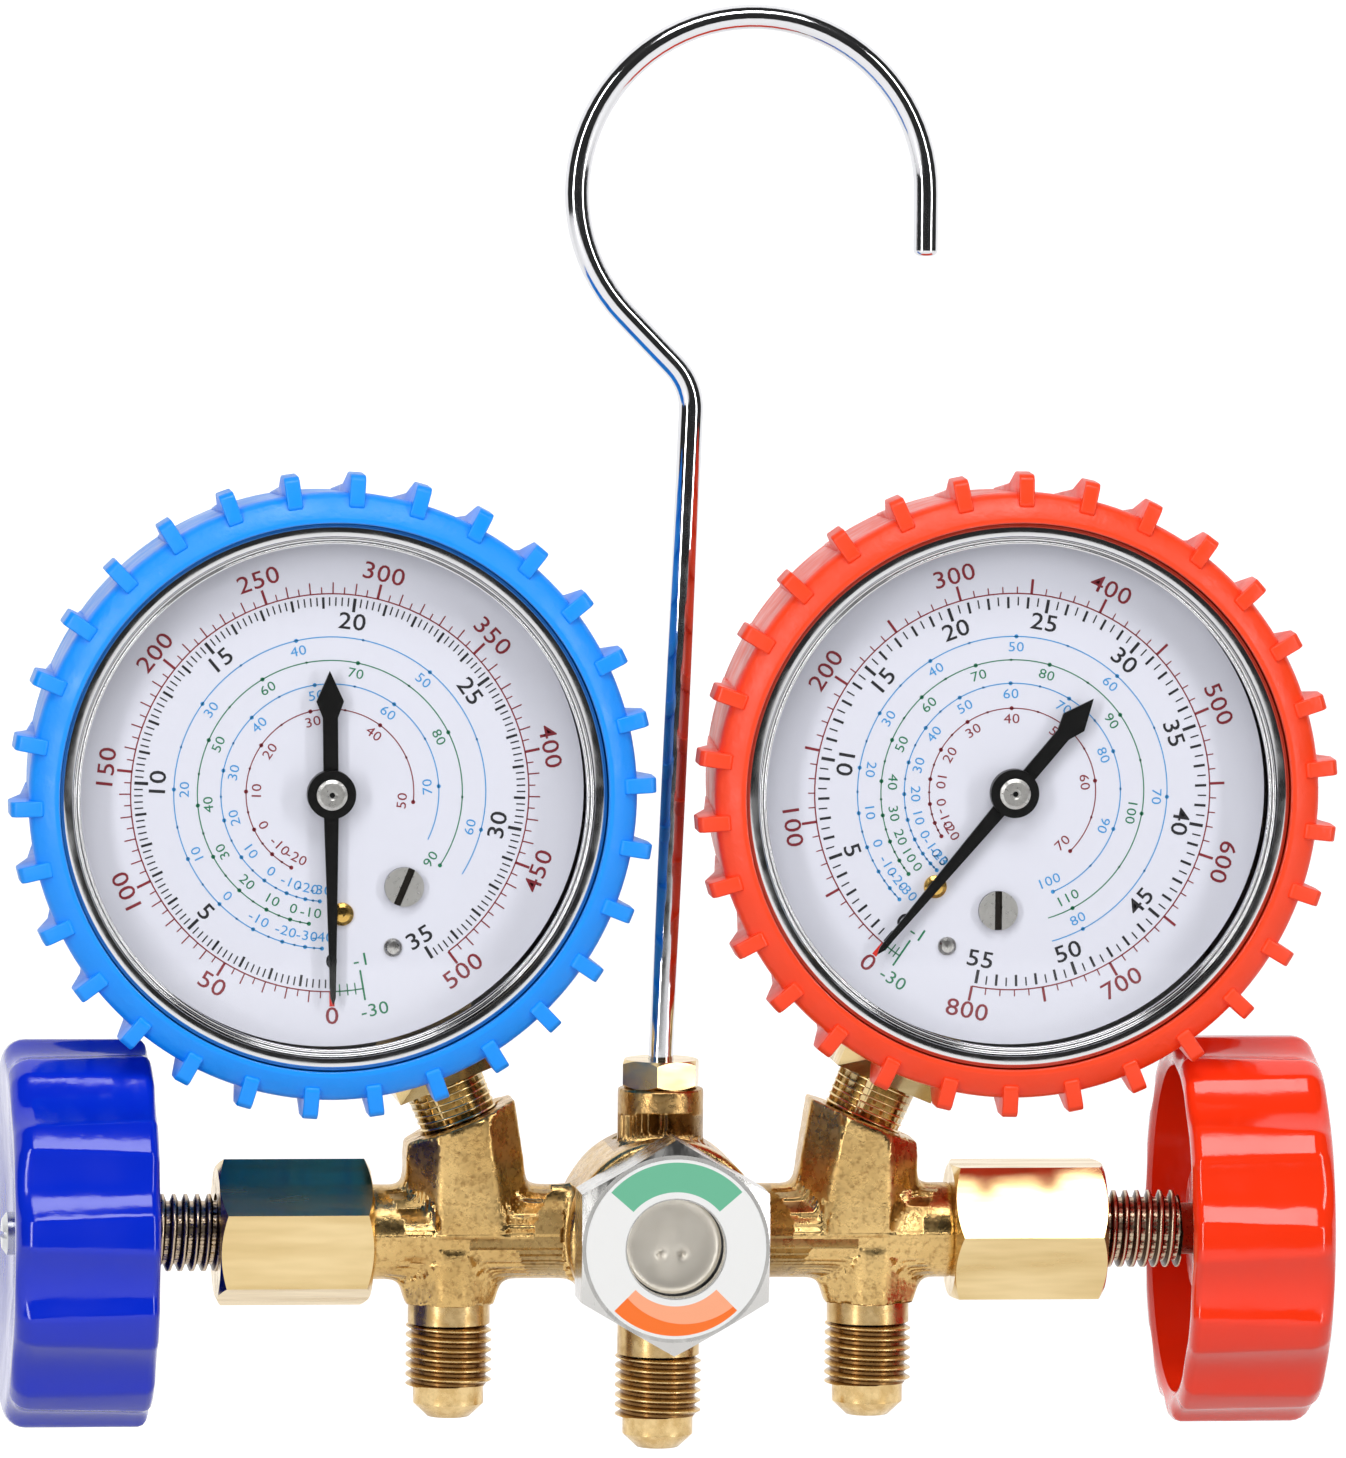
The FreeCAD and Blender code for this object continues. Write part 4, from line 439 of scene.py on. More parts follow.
def thread(radius, depth, pitch, start, end, root_share=0.24, crest_share=0.12):
    """A helical thread about the upright axis from the start down to the end, in millimetres."""
    top = start + pitch
    root = radius - depth
    root_half = pitch * root_share / 2
    crest_half = pitch * crest_share / 2
    tooth = [(root, top), (root, top - root_half), (radius, top - pitch / 2 + crest_half),
             (radius, top - pitch / 2 - crest_half), (root, top - pitch + root_half), (root, top - pitch)]
    made = drawn(tooth)
    bpy.ops.object.mode_set(mode="OBJECT")
    bpy.ops.object.modifier_add(type="SCREW")
    helix = made.modifiers[-1]
    helix.axis = "Z"
    helix.steps = 48
    helix.render_steps = 48
    helix.screw_offset = -pitch * MM
    helix.iterations = math.ceil((start - end) / pitch) + 2
    helix.use_merge_vertices = True
    helix.merge_threshold = MERGED
    bpy.ops.object.modifier_apply(modifier=helix.name)
    for level, keep_above in ((end, True), (start, False)):
        bpy.ops.object.mode_set(mode="EDIT")
        bpy.ops.mesh.select_all(action="SELECT")
        bpy.ops.mesh.bisect(plane_co=(0, 0, level * MM), plane_no=(0, 0, 1),
                            clear_inner=keep_above, clear_outer=not keep_above)
        bpy.ops.object.mode_set(mode="OBJECT")
    bpy.ops.object.mode_set(mode="EDIT")
    bpy.ops.mesh.select_all(action="SELECT")
    bpy.ops.mesh.remove_doubles(threshold=MERGED)
    bpy.ops.mesh.normals_make_consistent(inside=False)
    bpy.ops.object.mode_set(mode="OBJECT")
    return made


def joined(pieces, name):
    """Several meshes as one piece."""
    nothing_selected()
    for piece in pieces:
        piece.select_set(True)
    bpy.context.view_layer.objects.active = pieces[0]
    if len(pieces) > 1:
        bpy.ops.object.join()
    made = bpy.context.object
    made.name = name
    return made


def placed(made, matrix):
    """Puts the place into the mesh, so that the object itself stays at the origin."""
    made.data.transform(matrix)
    made.data.update()
    return made


def smooth_by(made, degrees=35):
    picked(made)
    bpy.ops.object.shade_smooth_by_angle(angle=math.radians(degrees))


bright_brass = Paint("turned brass", (0.72, 0.53, 0.26), roughness=0.2, metallic=1.0)
turning = bright_brass.noise(420.0, 2.0, (0.15, 1.0, 1.0))
lines = bright_brass.clamp(turning, 0.3, 0.7)
bright_brass.colour(bright_brass.blend(lines, (0.80, 0.62, 0.33), (0.66, 0.48, 0.22)))
bright_brass.gloss(bright_brass.clamp(turning, 0.3, 0.7, 0.14, 0.28))
bright_brass.relief(turning, 0.02 * MM)

# Painted shade: the grooves of the threads are painted dark brown, the crests and the nose light
# brass. The outer ports are folded on the middle one, sideways and in height, so that one paint suits all
# three.
port_brass = Paint("threaded port brass", (0.66, 0.47, 0.22), roughness=0.24, metallic=1.0)
across, depth, height = port_brass.axes()
from_middle = abs(across - BAR.x)
spread = port_brass.from_axis(abs(abs(from_middle - PORT_STEP / 2) - PORT_STEP / 2), depth)
below = height - BAR.z + PORT_DROP * (from_middle < PORT_STEP / 2)
nose = below < (PORT_PLACES["low"][1] + THREAD_END) * MM
crest = port_brass.node("Math", [port_brass.clamp(spread, *CREST), nose], operation="MAXIMUM")
wear = port_brass.noise(600.0, 3.0)
# painted shade: dark brown in the thread grooves, light brass on the crests and the nose
port_brass.colour(port_brass.blend(crest, (0.22, 0.11, 0.035), port_brass.blend(
    port_brass.clamp(wear, 0.35, 0.65), (0.78, 0.57, 0.28), (0.60, 0.40, 0.16))))
port_brass.gloss(port_brass.clamp(wear, 0.3, 0.7, 0.18, 0.34))

port_thread = thread(THREAD_RADIUS, THREAD_DEPTH, PITCH, THREAD_START, THREAD_END)
port = joined([turned(NECK), turned(NOSE), port_thread], "flare_port")
for name, (place, end) in PORT_PLACES.items():
    copy = port.copy()
    copy.data = port.data.copy()
    copy.name = name + "_flare_port"
    bpy.context.collection.objects.link(copy)
    placed(copy, Matrix.Translation(BAR + Vector((place * MM, 0, end * MM))))
    smooth_by(copy)
    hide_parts("manifold_body")
    finished(copy, port_brass, "manifold")
bpy.data.objects.remove(port)

# Inside the bar are the two valves. A brass spindle carries a soft disc that closes the seat, a
# rubber ring round its plunger, and a screw thread that shows between the bonnet and the wheel.
SPINDLE_THREAD = (-47.4, -67.0)
SPINDLE_RADIUS = 4.95
SPINDLE_PITCH = 1.5
SPINDLE_DEPTH = 0.88
SPINDLE_ROOT = (SPINDLE_RADIUS - SPINDLE_DEPTH) * MM
SPINDLE_FLANK = (4.13 * MM, 4.88 * MM)
ROOT_SHARE = 0.3
CREST_SHARE = 0.26
SIDES = {"low": -1, "high": 1}
SLIMMED_SPAN = (47.3 * MM, 67.1 * MM)
SLIMMED_RADIUS = 4.5 * MM

# Painted shade: the spindle thread is painted near-black at its roots and crests and light on its flanks.
shaded_thread_brass = Paint("threaded brass", (0.42, 0.30, 0.17), roughness=0.3, metallic=1.0)
across, depth, height = shaded_thread_brass.axes()
spread = shaded_thread_brass.from_axis(depth, height - BAR.z)
flank = (spread > SPINDLE_FLANK[0]) * (spread < SPINDLE_FLANK[1])
shaded_thread_brass.colour(shaded_thread_brass.blend(flank, (0.56, 0.44, 0.31), (0.07, 0.04, 0.025)))
shaded_thread_brass.uneven_gloss(1500.0, 0.2, 0.42)

for side_name, side in SIDES.items():
    spindle = twin(side_name + "_spindle", side_name + "_screwed_spindle")
    for vertex in spindle.data.vertices:
        reach = abs(vertex.co.x - BAR.x)
        out = Vector((0, vertex.co.y, vertex.co.z - BAR.z))
        if SLIMMED_SPAN[0] < reach < SLIMMED_SPAN[1] and out.length > SLIMMED_RADIUS:
            slim = out * (SPINDLE_ROOT / out.length)
            vertex.co = Vector((vertex.co.x, slim.y, slim.z + BAR.z))
    screw = thread(SPINDLE_RADIUS, SPINDLE_DEPTH, SPINDLE_PITCH, *SPINDLE_THREAD, ROOT_SHARE, CREST_SHARE)
    placed(screw, Matrix.Translation(BAR) @ Matrix.Rotation(side * math.radians(-90), 4, "Y"))
    spindle = joined([spindle, screw], side_name + "_screwed_spindle")
    smooth_by(spindle)
    finished(spindle, shaded_thread_brass, side_name + "_spindle")

soft_seal = Paint("seat disc plastic", (0.83, 0.82, 0.77), roughness=0.45)
soft_seal.uneven_gloss(900.0, 0.38, 0.55)
black_rubber = Paint("seal rubber", (0.02, 0.02, 0.02), roughness=0.6)
black_rubber.uneven_gloss(1200.0, 0.5, 0.7)
for side_name in SIDES:
    node_paint(side_name + "_seat_disc", soft_seal)
    node_paint(side_name + "_bonnet_gasket", soft_seal)
    node_paint(side_name + "_spindle_seal", black_rubber)
    node_paint(side_name + "_bonnet", bright_brass)

# The handwheels are moulded in glossy plastic, hollow towards the bar and pushed on the spindle's
# square, each with a domed screw in the middle. Blue is the suction side, red the pressure side.
WHEEL_STEPS = 480
WHEEL_RADIUS = 24.8
WHEEL_START = 65.9
WHEEL_END = 84.3
SHOULDER = 2.8
RIM_FLUTE_HALF = 9.0
FACE_FLUTE_HALF = 11.2
FLUTE_DEPTH = 1.35
FLUTE_EDGE = 0.004
FLUTE_PITCH = 30.0
FLUTE_ANGLE = {"low": 8.8, "high": 12.2}
RIM_START = [(66.5, 21.0, 0), (66.1, 21.5, 0), (WHEEL_START, 22.3, 0.3), (65.95, 23.3, 0.8),
             (66.2, 24.1, 0.8), (66.6, 24.6, 0.8), (67.2, WHEEL_RADIUS, 0.8), (73.0, WHEEL_RADIUS, 0.9)]
SHOULDER_STEPS = 7
FACE_AND_HUB = [(WHEEL_END, 21.0, 0), (83.3, 9.0, 0), (83.1, 7.8, 0), (83.1, 1.8, 0), (79.4, 1.8, 0),
                (79.4, 3.3, 0), (69.0, 3.3, 0), (69.0, 7.5, 0), (69.3, 7.8, 0), (79.9, 8.1, 0),
                (80.2, 8.6, 0), (80.9, 18.0, 0), (80.2, 19.6, 0), (78.6, 20.5, 0), (66.5, 21.0, 0)]


def wheel_sections():
    """Rings of the wheel from its open rim round the shoulder to the hub: (along, radius, flutes)."""
    shoulder = []
    for step in range(SHOULDER_STEPS):
        turn = math.pi / 2 * step / (SHOULDER_STEPS - 1)
        shoulder.append((WHEEL_END - SHOULDER + SHOULDER * math.sin(turn),
                         WHEEL_RADIUS - SHOULDER + SHOULDER * math.cos(turn), math.cos(turn)))
    return RIM_START + shoulder + FACE_AND_HUB


def handwheel(side, flute_angle):
    """One ring extruded from section to section, then drawn in where the flutes are."""
    sections = wheel_sections()
    nothing_selected()
    bpy.ops.mesh.primitive_circle_add(vertices=WHEEL_STEPS, radius=MM, fill_type="NOTHING")
    made = bpy.context.object
    bpy.ops.object.mode_set(mode="EDIT")
    bpy.ops.mesh.select_all(action="SELECT")
    for ring in range(len(sections) - 1):
        bpy.ops.mesh.extrude_region_move(TRANSFORM_OT_translate={"value": (0, 0, MM)})
    bpy.ops.object.mode_set(mode="OBJECT")
    for number, vertex in enumerate(made.data.vertices):
        along, radius, share = sections[number // WHEEL_STEPS]
        angle = math.atan2(vertex.co.y, vertex.co.x)
        from_flute = (math.degrees(angle) - flute_angle + FLUTE_PITCH / 2) % FLUTE_PITCH - FLUTE_PITCH / 2
        inward = min(1.0, (along - WHEEL_START) / (WHEEL_END - WHEEL_START))
        half = RIM_FLUTE_HALF + (FACE_FLUTE_HALF - RIM_FLUTE_HALF) * inward
        hollow = 1.0 - (from_flute / half) ** 2
        radius -= FLUTE_DEPTH * share * (hollow + math.sqrt(hollow * hollow + FLUTE_EDGE)) / 2
        vertex.co = Vector((side * along, radius * math.cos(angle), radius * math.sin(angle))) * MM
    picked(made)
    bpy.ops.object.mode_set(mode="EDIT")
    bpy.ops.mesh.select_all(action="SELECT")
    bpy.ops.mesh.remove_doubles(threshold=MERGED)
    bpy.ops.mesh.normals_make_consistent(inside=False)
    bpy.ops.object.mode_set(mode="OBJECT")
    return placed(made, Matrix.Translation(BAR))


blue_plastic = Paint("blue wheel", (0.002, 0.022, 0.56), roughness=0.12, Specular_IOR_Level=0.45)
red_plastic = Paint("red wheel", (0.92, 0.035, 0.006), roughness=0.12, Specular_IOR_Level=0.45)
for plastic in (blue_plastic, red_plastic):
    flow = plastic.noise(160.0, 2.0)
    plastic.gloss(plastic.clamp(flow, 0.3, 0.7, 0.07, 0.16))
    plastic.relief(plastic.noise(420.0, 3.0) * 0.4 + flow, 0.08 * MM)
for side_name, paint, slot in (("low", blue_plastic, "wheel_blue"), ("high", red_plastic, "wheel_red")):
    wheel = handwheel(SIDES[side_name], FLUTE_ANGLE[side_name])
    wheel.name = side_name + "_wheel"
    smooth_by(wheel, 40)
    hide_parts(side_name + "_handwheel")
    finished(wheel, paint, side_name + "_spindle")

zinc = Paint("zinc plated steel", (0.66, 0.67, 0.68), roughness=0.3, metallic=1.0)
zinc.uneven_gloss(1100.0, 0.22, 0.4)
node_paint("low_handwheel_screw", zinc)
node_paint("high_handwheel_screw", zinc)

# The sight glass: a nickel plated nut holds a round window over a small chamber in the body.
# A printed ring round the window compares its colour: green at the top, orange at the bottom.
SIGHT_BAND = (7.3 * MM, 11.1 * MM)
TOP_SHARE = 1.15
DARK_ORANGE = 9.5 * MM
DARK_ORANGE_LEAN = 0.12
nickel = Paint("satin nickel", (0.60, 0.59, 0.57), roughness=0.22, metallic=1.0)
nickel.uneven_gloss(700.0, 0.16, 0.32, 2.0, (1.0, 1.0, 0.2))
node_paint("sight_glass_nut", nickel)
node_paint("sight_glass_gasket", black_rubber)

ring_print = Paint("indicator print", (0.9, 0.9, 0.88), roughness=0.35)
across, depth, height = ring_print.axes()
sideways = across - BAR.x
upright = height - BAR.z
spread = ring_print.from_axis(sideways, upright)
band = (spread > SIGHT_BAND[0]) * (spread < SIGHT_BAND[1])
top_part = (upright * TOP_SHARE > abs(sideways)) * band
low_part = (upright * -1.0 > abs(sideways)) * band
low_rim = low_part * (spread - sideways * DARK_ORANGE_LEAN > DARK_ORANGE)
print_colour = ring_print.blend(top_part, (0.80, 0.80, 0.79), (0.14, 0.46, 0.29))
print_colour = ring_print.blend(low_part, print_colour, (0.92, 0.38, 0.21))
ring_print.colour(ring_print.blend(low_rim, print_colour, (0.90, 0.17, 0.02)))
node_paint("sight_glass_ring", ring_print)

# The hook is chromed wire with an upset head, held by a brass nut in the boss so that it swivels.
chrome = Paint("hook chrome", (0.72, 0.72, 0.74), roughness=0.06, metallic=1.0)
chrome.uneven_gloss(300.0, 0.05, 0.12, 2.0)
node_paint("hook", chrome)
node_paint("hook_nut", bright_brass)

# Each gauge hangs on its stem: a brass socket with wrench flats, screwed into the leaning boss.
# The thread is not screwed right home, so a few turns of it show above the boss.
GAUGE_PLACE = Vector((43.7, 0.0, 57.35))
GAUGE_TILT = math.radians(22.5)
STEM_RADIUS = 5.1
STEM_PITCH = 0.94
STEM_DEPTH = 0.5
STEM_ROOT = (STEM_RADIUS - STEM_DEPTH) * MM
STEM_SLIMMED = (-41.05 * MM, 4.7 * MM)
STEM_THREAD = (-41.2, -53.5)


def gauge_matrix(side):
    """Carries a piece drawn about the middle of a dial, stem down, to its side of the set."""
    middle = BAR + Vector((side * GAUGE_PLACE.x, 0, GAUGE_PLACE.z)) * MM
    return Matrix.Translation(middle) @ Matrix.Rotation(side * GAUGE_TILT, 4, "Y")


for side_name, side in SIDES.items():
    socket = twin(side_name + "_socket", side_name + "_stem")
    placed(socket, gauge_matrix(side).inverted())
    for vertex in socket.data.vertices:
        out = Vector((vertex.co.x, vertex.co.y, 0))
        if vertex.co.z < STEM_SLIMMED[0] and out.length > STEM_SLIMMED[1]:
            slim = out * (STEM_ROOT / out.length)
            vertex.co = Vector((slim.x, slim.y, vertex.co.z))
    stem_thread = thread(STEM_RADIUS, STEM_DEPTH, STEM_PITCH, *STEM_THREAD)
    socket = joined([socket, stem_thread], side_name + "_stem")
    placed(socket, gauge_matrix(side))
    smooth_by(socket)
    finished(socket, bright_brass, "manifold")

# Inside the steel case a flattened bronze tube straightens as the pressure rises. A link pulls the
# tail of a toothed sector, which turns the pinion on the pointer's arbor against a hairspring.
bronze = Paint("spring bronze", (0.58, 0.33, 0.14), roughness=0.3, metallic=1.0)
bronze.uneven_gloss(700.0, 0.22, 0.4, 2.0, (1.0, 0.2, 1.0))
stamped = Paint("stamped brass", (0.72, 0.52, 0.22), roughness=0.25, metallic=1.0)
stamped.uneven_gloss(900.0, 0.2, 0.36, 2.0)
case_steel = Paint("drawn steel", (0.55, 0.55, 0.56), roughness=0.3, metallic=1.0)
case_steel.uneven_gloss(500.0, 0.24, 0.4, 2.0, (1.0, 0.1, 1.0))
for side_name in SIDES:
    node_paint(side_name + "_case", case_steel)
    node_paint(side_name + "_bourdon_tube", bronze)
    node_paint(side_name + "_hairspring", bronze)
    for part in ("_sector", "_pinion", "_link", "_movement_back_plate", "_movement_front_plate"):
        node_paint(side_name + part, stamped)
node_paint("movement_screws", stamped)

# The dials are white enamelled plates. The outer scale is printed in dark red in pounds a square
# inch, the scale inside it in black in bar, and the four thin arcs give boiling temperatures.
DIAL_PRINT = -9.63
SCALE_RADIUS = 25.4
PSI_IN_BAR = 14.5038
AIR_BAR = 1.013
VACUUM_PSI = -14.0
ARC_RADII = (19.9, 16.9, 13.9, 10.7)
ARC_INKS = ("sky", "green", "sky", "crimson")
# Saturation curves of four common refrigerants: ln(bar) = first - second / (degrees + third).
CURVES = ((14.096, 4703.9, 381.6), (11.729, 3241.4, 304.3), (9.556, 1936.2, 243.7), (10.796, 2390.3, 274.0))
DIALS = {
    "low": {"zero": 21.5, "rate": 0.648, "end": 500, "numbers": 50, "steps": (50, 10, 5),
            "bar_end": 35, "bar_steps": (5, 1, 0.2),
            "degrees": ((-40, 60), (-10, 90), (-30, 70), (-20, 50)),
            "arc_ends": (324.0, 325.4, 318.0, 299.0)},
    "high": {"zero": 17.5, "rate": 0.414, "end": 800, "numbers": 100, "steps": (50, 50, 10),
             "bar_end": 55, "bar_steps": (5, 1, 0.5),
             "degrees": ((-30, 80), (0, 110), (-30, 100), (-20, 70)),
             "arc_ends": (322.0, 321.0, 314.6, 293.0)},
}
TURNED_OVER = (80.0, 284.0)
NUMBER_WIDTH = 1.17
LINE = 0.17
ARC_LINE = 0.14
ARC_STEP = 3.0
SWEPT_WIDTH = 0.01
UPRIGHT = Matrix.Rotation(math.radians(90), 4, "X")
# Each kind of tick has a length and a width, each kind of number a radius, a size and a boldness.
PSI_TICKS = ((1.9, 0.34), (1.45, 0.17), (0.85, 0.15))
BAR_TICKS = ((1.75, 0.4), (1.45, 0.32), (1.1, 0.18))
BAR_GAP = 0.45
PSI_NUMBER = (28.6, 3.1, 0.01)
BAR_NUMBER = (21.9, 3.0, 0.02)
BAR_ZERO = (21.6, 2.6, 0.03)
VACUUM_NUMBERS = (("-30", 2.0, 28.4), ("-1", 1.0, 21.8))
VACUUM_SIZE = 2.3
DEGREE_SIZE = 1.75
DEGREE_DROP = 1.4
DOTS = {True: 0.27, False: 0.16}
INKS = {"crimson": (0.24, 0.018, 0.03), "black": (0.012, 0.012, 0.016), "sky": (0.05, 0.33, 0.72),
        "green": (0.012, 0.20, 0.09), "scarlet": (0.75, 0.02, 0.01)}

enamel = Paint("dial enamel", (0.77, 0.78, 0.87), roughness=0.4)
enamel.uneven_gloss(1500.0, 0.34, 0.48)
ink_paints = {}
for ink, colour in INKS.items():
    ink_paints[ink] = Paint(ink + " dial ink", colour, roughness=0.5)
    ink_paints[ink].uneven_gloss(2000.0, 0.42, 0.6)


def about(degrees):
    """Turns a mark drawn at the stem, the lowest point of the dial, clockwise round the dial."""
    return Matrix.Rotation(math.radians(degrees), 4, "Y")


def on_dial(degrees, radius):
    """The place on the dial's face at an angle and a radius."""
    out = Matrix.Translation((0, DIAL_PRINT * MM, -radius * MM))
    return about(degrees) @ out


def tick(degrees, inner, outer, width):
    """A radial line between two radii."""
    bpy.ops.mesh.primitive_plane_add(size=1.0)
    size = Matrix.Diagonal((width * MM, (outer - inner) * MM, 1.0, 1.0))
    return placed(bpy.context.object, on_dial(degrees, (inner + outer) / 2) @ UPRIGHT @ size)


def dot(degrees, radius, size):
    """A round spot on one of the arcs."""
    bpy.ops.mesh.primitive_circle_add(vertices=12, radius=size * MM, fill_type="NGON")
    return placed(bpy.context.object, on_dial(degrees, radius) @ UPRIGHT)


def arc(start, end, radius, width):
    """A thin line along a circle, drawn as one tick swept round the middle of the dial."""
    made = tick(start, radius - width / 2, radius + width / 2, SWEPT_WIDTH)
    picked(made)
    bpy.ops.object.mode_set(mode="EDIT")
    bpy.ops.mesh.select_mode(type="EDGE")
    bpy.ops.mesh.select_all(action="DESELECT")
    bpy.ops.object.mode_set(mode="OBJECT")
    back = about(-start)
    for vertex in made.data.vertices:
        vertex.select = (back @ vertex.co).x < 0
    bpy.ops.object.mode_set(mode="EDIT")
    bpy.ops.mesh.select_mode(type="VERT")
    bpy.ops.mesh.spin(steps=max(2, round((end - start) / ARC_STEP)), angle=-math.radians(end - start),
                      center=(0, 0, 0), axis=(0, 1, 0))
    bpy.ops.object.mode_set(mode="OBJECT")
    return made


def number(text, degrees, radius, size, bold=0.0):
    """A number on the dial, with its foot to the middle, or turned over in the lower part."""
    bpy.ops.object.text_add()
    words = bpy.context.object
    words.data.body = text
    words.data.size = size * MM
    words.data.offset = bold * MM
    words.data.align_x = "CENTER"
    words.data.align_y = "CENTER"
    words.data.space_character = 1.05
    words.data.resolution_u = 3
    picked(words)
    bpy.ops.object.convert(target="MESH")
    foot = about(180 if TURNED_OVER[0] < degrees < TURNED_OVER[1] else 0)
    wide = Matrix.Diagonal((NUMBER_WIDTH, 1.0, 1.0, 1.0))
    return placed(bpy.context.object, on_dial(degrees, radius) @ foot @ UPRIGHT @ wide)


for side_name, scale in DIALS.items():
    zero, rate = scale["zero"], scale["rate"]
    printed = {ink: [] for ink in INKS}
    major, medium, minor = scale["steps"]
    printed["crimson"].append(arc(zero, zero + scale["end"] * rate, SCALE_RADIUS, LINE))
    for step in range(1, scale["end"] // minor + 1):
        psi = step * minor
        length, width = PSI_TICKS[0 if psi % major == 0 else 1 if psi % medium == 0 else 2]
        printed["crimson"].append(tick(zero + psi * rate, SCALE_RADIUS, SCALE_RADIUS + length, width))
        if psi % scale["numbers"] == 0:
            printed["crimson"].append(number(str(psi), zero + psi * rate, *PSI_NUMBER))
    printed["crimson"].append(number("0", zero, *PSI_NUMBER))
    printed["scarlet"].append(tick(zero, SCALE_RADIUS, SCALE_RADIUS + 1.9, 0.65))
    major, medium, minor = scale["bar_steps"]
    for step in range(1, round(scale["bar_end"] / minor) + 1):
        bar = step * minor
        place = zero + bar * PSI_IN_BAR * rate
        whole = abs(bar / medium - round(bar / medium)) < 0.01
        fifth = abs(bar / major - round(bar / major)) < 0.01
        length, width = BAR_TICKS[0 if fifth else 1 if whole else 2]
        printed["black"].append(tick(place, SCALE_RADIUS - BAR_GAP - length, SCALE_RADIUS - BAR_GAP, width))
        if fifth:
            printed["black"].append(number(str(round(bar)), place, *BAR_NUMBER))
    printed["black"].append(number("0", zero, *BAR_ZERO))
    printed["black"].append(tick(zero, SCALE_RADIUS - 2.0, SCALE_RADIUS - 0.3, 0.6))
    vacuum = zero + VACUUM_PSI * rate
    printed["green"].append(arc(vacuum, zero, SCALE_RADIUS, LINE))
    printed["green"].append(tick(vacuum, SCALE_RADIUS - 2.4, SCALE_RADIUS + 1.5, 0.24))
    for part in (0.25, 0.5, 0.75):
        place = vacuum + (zero - vacuum) * part
        printed["green"].append(tick(place, SCALE_RADIUS - 0.9, SCALE_RADIUS + 0.6, 0.15))
    for text, before, radius in VACUUM_NUMBERS:
        printed["green"].append(number(text, vacuum - before, radius, VACUUM_SIZE))
    arcs = zip(ARC_RADII, ARC_INKS, CURVES, scale["degrees"], scale["arc_ends"])
    for radius, ink, curve, span, end in arcs:
        places = {}
        for celsius in range(span[0], span[1] + 1, 5):
            absolute = math.exp(curve[0] - curve[1] / (celsius + curve[2]))
            places[celsius] = zero + rate * PSI_IN_BAR * (absolute - AIR_BAR)
        printed[ink].append(arc(places[span[0]], end, radius, ARC_LINE))
        for celsius, place in places.items():
            numbered = celsius % 10 == 0
            printed[ink].append(dot(place, radius, DOTS[numbered]))
            if numbered:
                printed[ink].append(number(str(celsius), place, radius - DEGREE_DROP, DEGREE_SIZE))
    for ink, marks in printed.items():
        print_piece = joined(marks, side_name + "_dial_" + ink)
        placed(print_piece, gauge_matrix(SIDES[side_name]))
        finished(print_piece, ink_paints[ink], "manifold")
    node_paint(side_name + "_dial", enamel)

# In front of the dial are the black pointer with its nickel cap, the slotted screw that resets it,
# and the two small domes, one brass and one nickel, that hold the plate to the socket.
SLOT_SHADE_DEPTH = -10.3 * MM
CAP_HOLE_SHADE = 0.35 * MM
black = Paint("pointer black", (0.004, 0.004, 0.004), roughness=0.35, Specular_IOR_Level=0.2)
black.uneven_gloss(1800.0, 0.28, 0.45)
rivet_brass = Paint("rivet brass", (0.72, 0.45, 0.12), roughness=0.18, metallic=1.0)
rivet_brass.uneven_gloss(1500.0, 0.12, 0.28)
spun_nickel = Paint("spun nickel", (0.55, 0.54, 0.52), roughness=0.28, metallic=1.0)
brushing = spun_nickel.noise(2500.0, 2.0, (1.0, 1.0, 0.25))
spun_nickel.colour(spun_nickel.blend(brushing, (0.32, 0.31, 0.30), (0.75, 0.74, 0.71)))
spun_nickel.gloss(spun_nickel.clamp(brushing, 0.3, 0.7, 0.22, 0.38))
# Painted shade: the zero screw is painted near-black deeper than the mouth of its slot, so that the slot
# shows dark.
slotted = Paint("slotted screw nickel", (0.6, 0.59, 0.57), roughness=0.3, metallic=1.0)
depth = slotted.axes()[1]
slotted.colour(slotted.blend(depth > SLOT_SHADE_DEPTH, (0.66, 0.65, 0.62), (0.04, 0.035, 0.03)))
slotted.uneven_gloss(1800.0, 0.24, 0.4)
capped = Paint("pointer cap nickel", (0.6, 0.59, 0.57), roughness=0.3, metallic=1.0)
across, depth, height = capped.axes()
spread = capped.from_axis(abs(across - BAR.x) - GAUGE_PLACE.x * MM, height - BAR.z - GAUGE_PLACE.z * MM)
turned_face = capped.blend(capped.noise(2500.0), (0.42, 0.41, 0.39), (0.78, 0.77, 0.74))
# Painted shade: a near-black spot in the middle of the cap stands for the shade in its small centre hole.
capped.colour(capped.blend(spread < CAP_HOLE_SHADE, turned_face, (0.02, 0.02, 0.02)))
capped.uneven_gloss(1500.0, 0.25, 0.4)
for side_name in SIDES:
    node_paint(side_name + "_pointer", black)
    node_paint(side_name + "_pointer_cap", capped)
    node_paint(side_name + "_zero_screw", slotted)
node_paint("dial_rivets", rivet_brass)
node_paint("dial_pins", spun_nickel)

# A clear lens lies on a rubber ring in the case. A polished steel ring with two beads is pressed
# over the rim and holds it.
glass = Paint("lens glass", (1.0, 1.0, 1.0), roughness=0.02)
clear = glass.node("BsdfTransparent")
shine = glass.node("BsdfGlossy", {"Roughness": 0.02})
grazing = glass.node("LayerWeight", {"Blend": 0.5}, output="Facing")
edge = grazing.maths("POWER", 5.0) * 0.9 + 0.025
glass.surface(glass.node("MixShader", [edge, clear, shine]))
RING_EDGE = [(34.9, 15.0), (34.88, 15.35), (34.75, 15.62), (34.5, 15.8), (34.25, 15.87), (34.1, 15.88),
             (33.4, 15.88), (33.3, 15.86), (33.22, 15.75), (33.2, 15.2)]
RING_BEADS = ((32.92, 0.26, 15.15, 15.45), (32.4, 0.22, 15.1, 15.35))
BEAD_STEPS = 10


